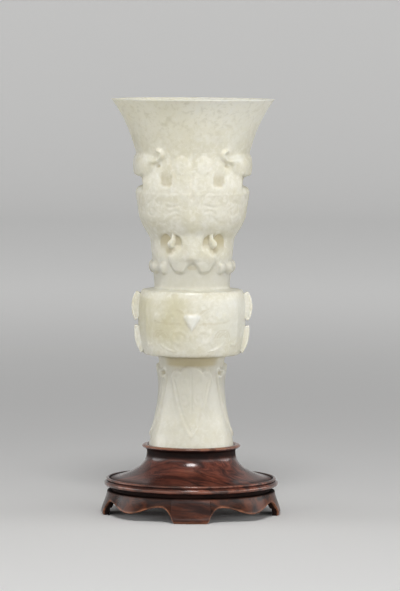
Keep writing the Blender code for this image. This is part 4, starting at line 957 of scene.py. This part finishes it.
def build_studio():
    """Floor that sweeps up by a quarter circle into a wall all round, outside the camera's circle."""
    bend = np.radians(np.linspace(0.0, 90.0, 16))[1:]
    across = FLOOR_RADIUS + COVE_RADIUS * np.sin(bend)
    level = COVE_RADIUS - COVE_RADIUS * np.cos(bend)
    wall = FLOOR_RADIUS + COVE_RADIUS
    profile = np.vstack([
        [(0.02, 0.0), (0.5, 0.0), (1.5, 0.0), (FLOOR_RADIUS, 0.0)],
        np.column_stack([across, level]),
        [(wall, 1.6), (wall, 2.6)],
    ])
    angle = np.linspace(-np.pi, np.pi, STUDIO_COLUMNS, endpoint=False)
    points = turned(profile[:, :1], angle, profile[:, 1:])
    index = np.arange(len(profile) * STUDIO_COLUMNS).reshape(-1, STUDIO_COLUMNS)
    following = np.roll(index, -1, axis=1)
    quads = np.stack([index[:-1], index[1:], following[1:], following[:-1]], axis=-1).reshape(-1, 4)
    mesh = bpy.data.meshes.new("studio_floor")
    mesh.from_pydata(points.reshape(-1, 3).tolist(), [], quads.tolist() + [index[0].tolist()])
    mesh.polygons.foreach_set("use_smooth", np.ones(len(mesh.polygons), bool))
    mesh.materials.append(paper_material())
    floor = bpy.data.objects.new("studio_floor", mesh)
    bpy.context.scene.collection.objects.link(floor)


def add_lamp(name, place, aim, width, height, power):
    """A soft lamp turned towards a point."""
    data = bpy.data.lights.new(name, "AREA")
    data.shape = "ELLIPSE"
    data.size = width
    data.size_y = height
    data.energy = power
    lamp = bpy.data.objects.new(name, data)
    bpy.context.scene.collection.objects.link(lamp)
    back = np.array(place, float) - np.array(aim, float)
    back = back / np.linalg.norm(back)
    side = np.cross((0.0, 0.0, 1.0), back)
    side = side / np.linalg.norm(side)
    axes = np.eye(4)
    axes[:3, :3] = np.column_stack([side, np.cross(back, side), back])
    axes[:3, 3] = place
    lamp.matrix_world = Matrix(axes.tolist())


def add_light():
    """Soft light from above the front, wide fills, a lamp to each side and an even, faint surrounding."""
    for lamp in LAMPS:
        add_lamp(*lamp)
    world = bpy.data.worlds.new("studio_world")
    world.use_nodes = True
    background = world.node_tree.nodes["Background"].inputs
    background["Color"].default_value = (1.0, 1.0, 1.0, 1.0)
    background["Strength"].default_value = WORLD_STRENGTH
    bpy.context.scene.world = world


def add_camera():
    """Camera at the photo's place and angle, with the plain view transform."""
    data = bpy.data.cameras.new("photo_camera")
    data.sensor_fit = "VERTICAL"
    data.sensor_height = CAMERA_SENSOR
    data.lens = CAMERA_LENS
    data.clip_end = 50.0
    camera = bpy.data.objects.new("photo_camera", data)
    pitch = Matrix.Rotation(math.radians(90.0 - CAMERA_DOWN), 4, "X")
    roll = Matrix.Rotation(math.radians(CAMERA_ROLL), 4, "Z")
    camera.matrix_world = Matrix.Translation(CAMERA_PLACE) @ pitch @ roll
    scene = bpy.context.scene
    scene.collection.objects.link(camera)
    scene.camera = camera
    scene.view_settings.view_transform = "Standard"


grain = grain_group()
jade = jade_material()
build_vase(jade)
build_fins(jade)
build_stand_top(wood_material("turned_wood", grain, turn=0.35, dark=TOP_DARK, red=TOP_RED, polish=0.85))
build_legs_and_aprons(
    wood_material("leg_wood", grain, turn=0.15, dark=LEG_DARK, red=LEG_RED, polish=0.25),
    wood_material("apron_wood", grain, turn=0.1, dark=APRON_DARK, red=APRON_RED, polish=0.15),
)
build_studio()
add_light()
add_camera()
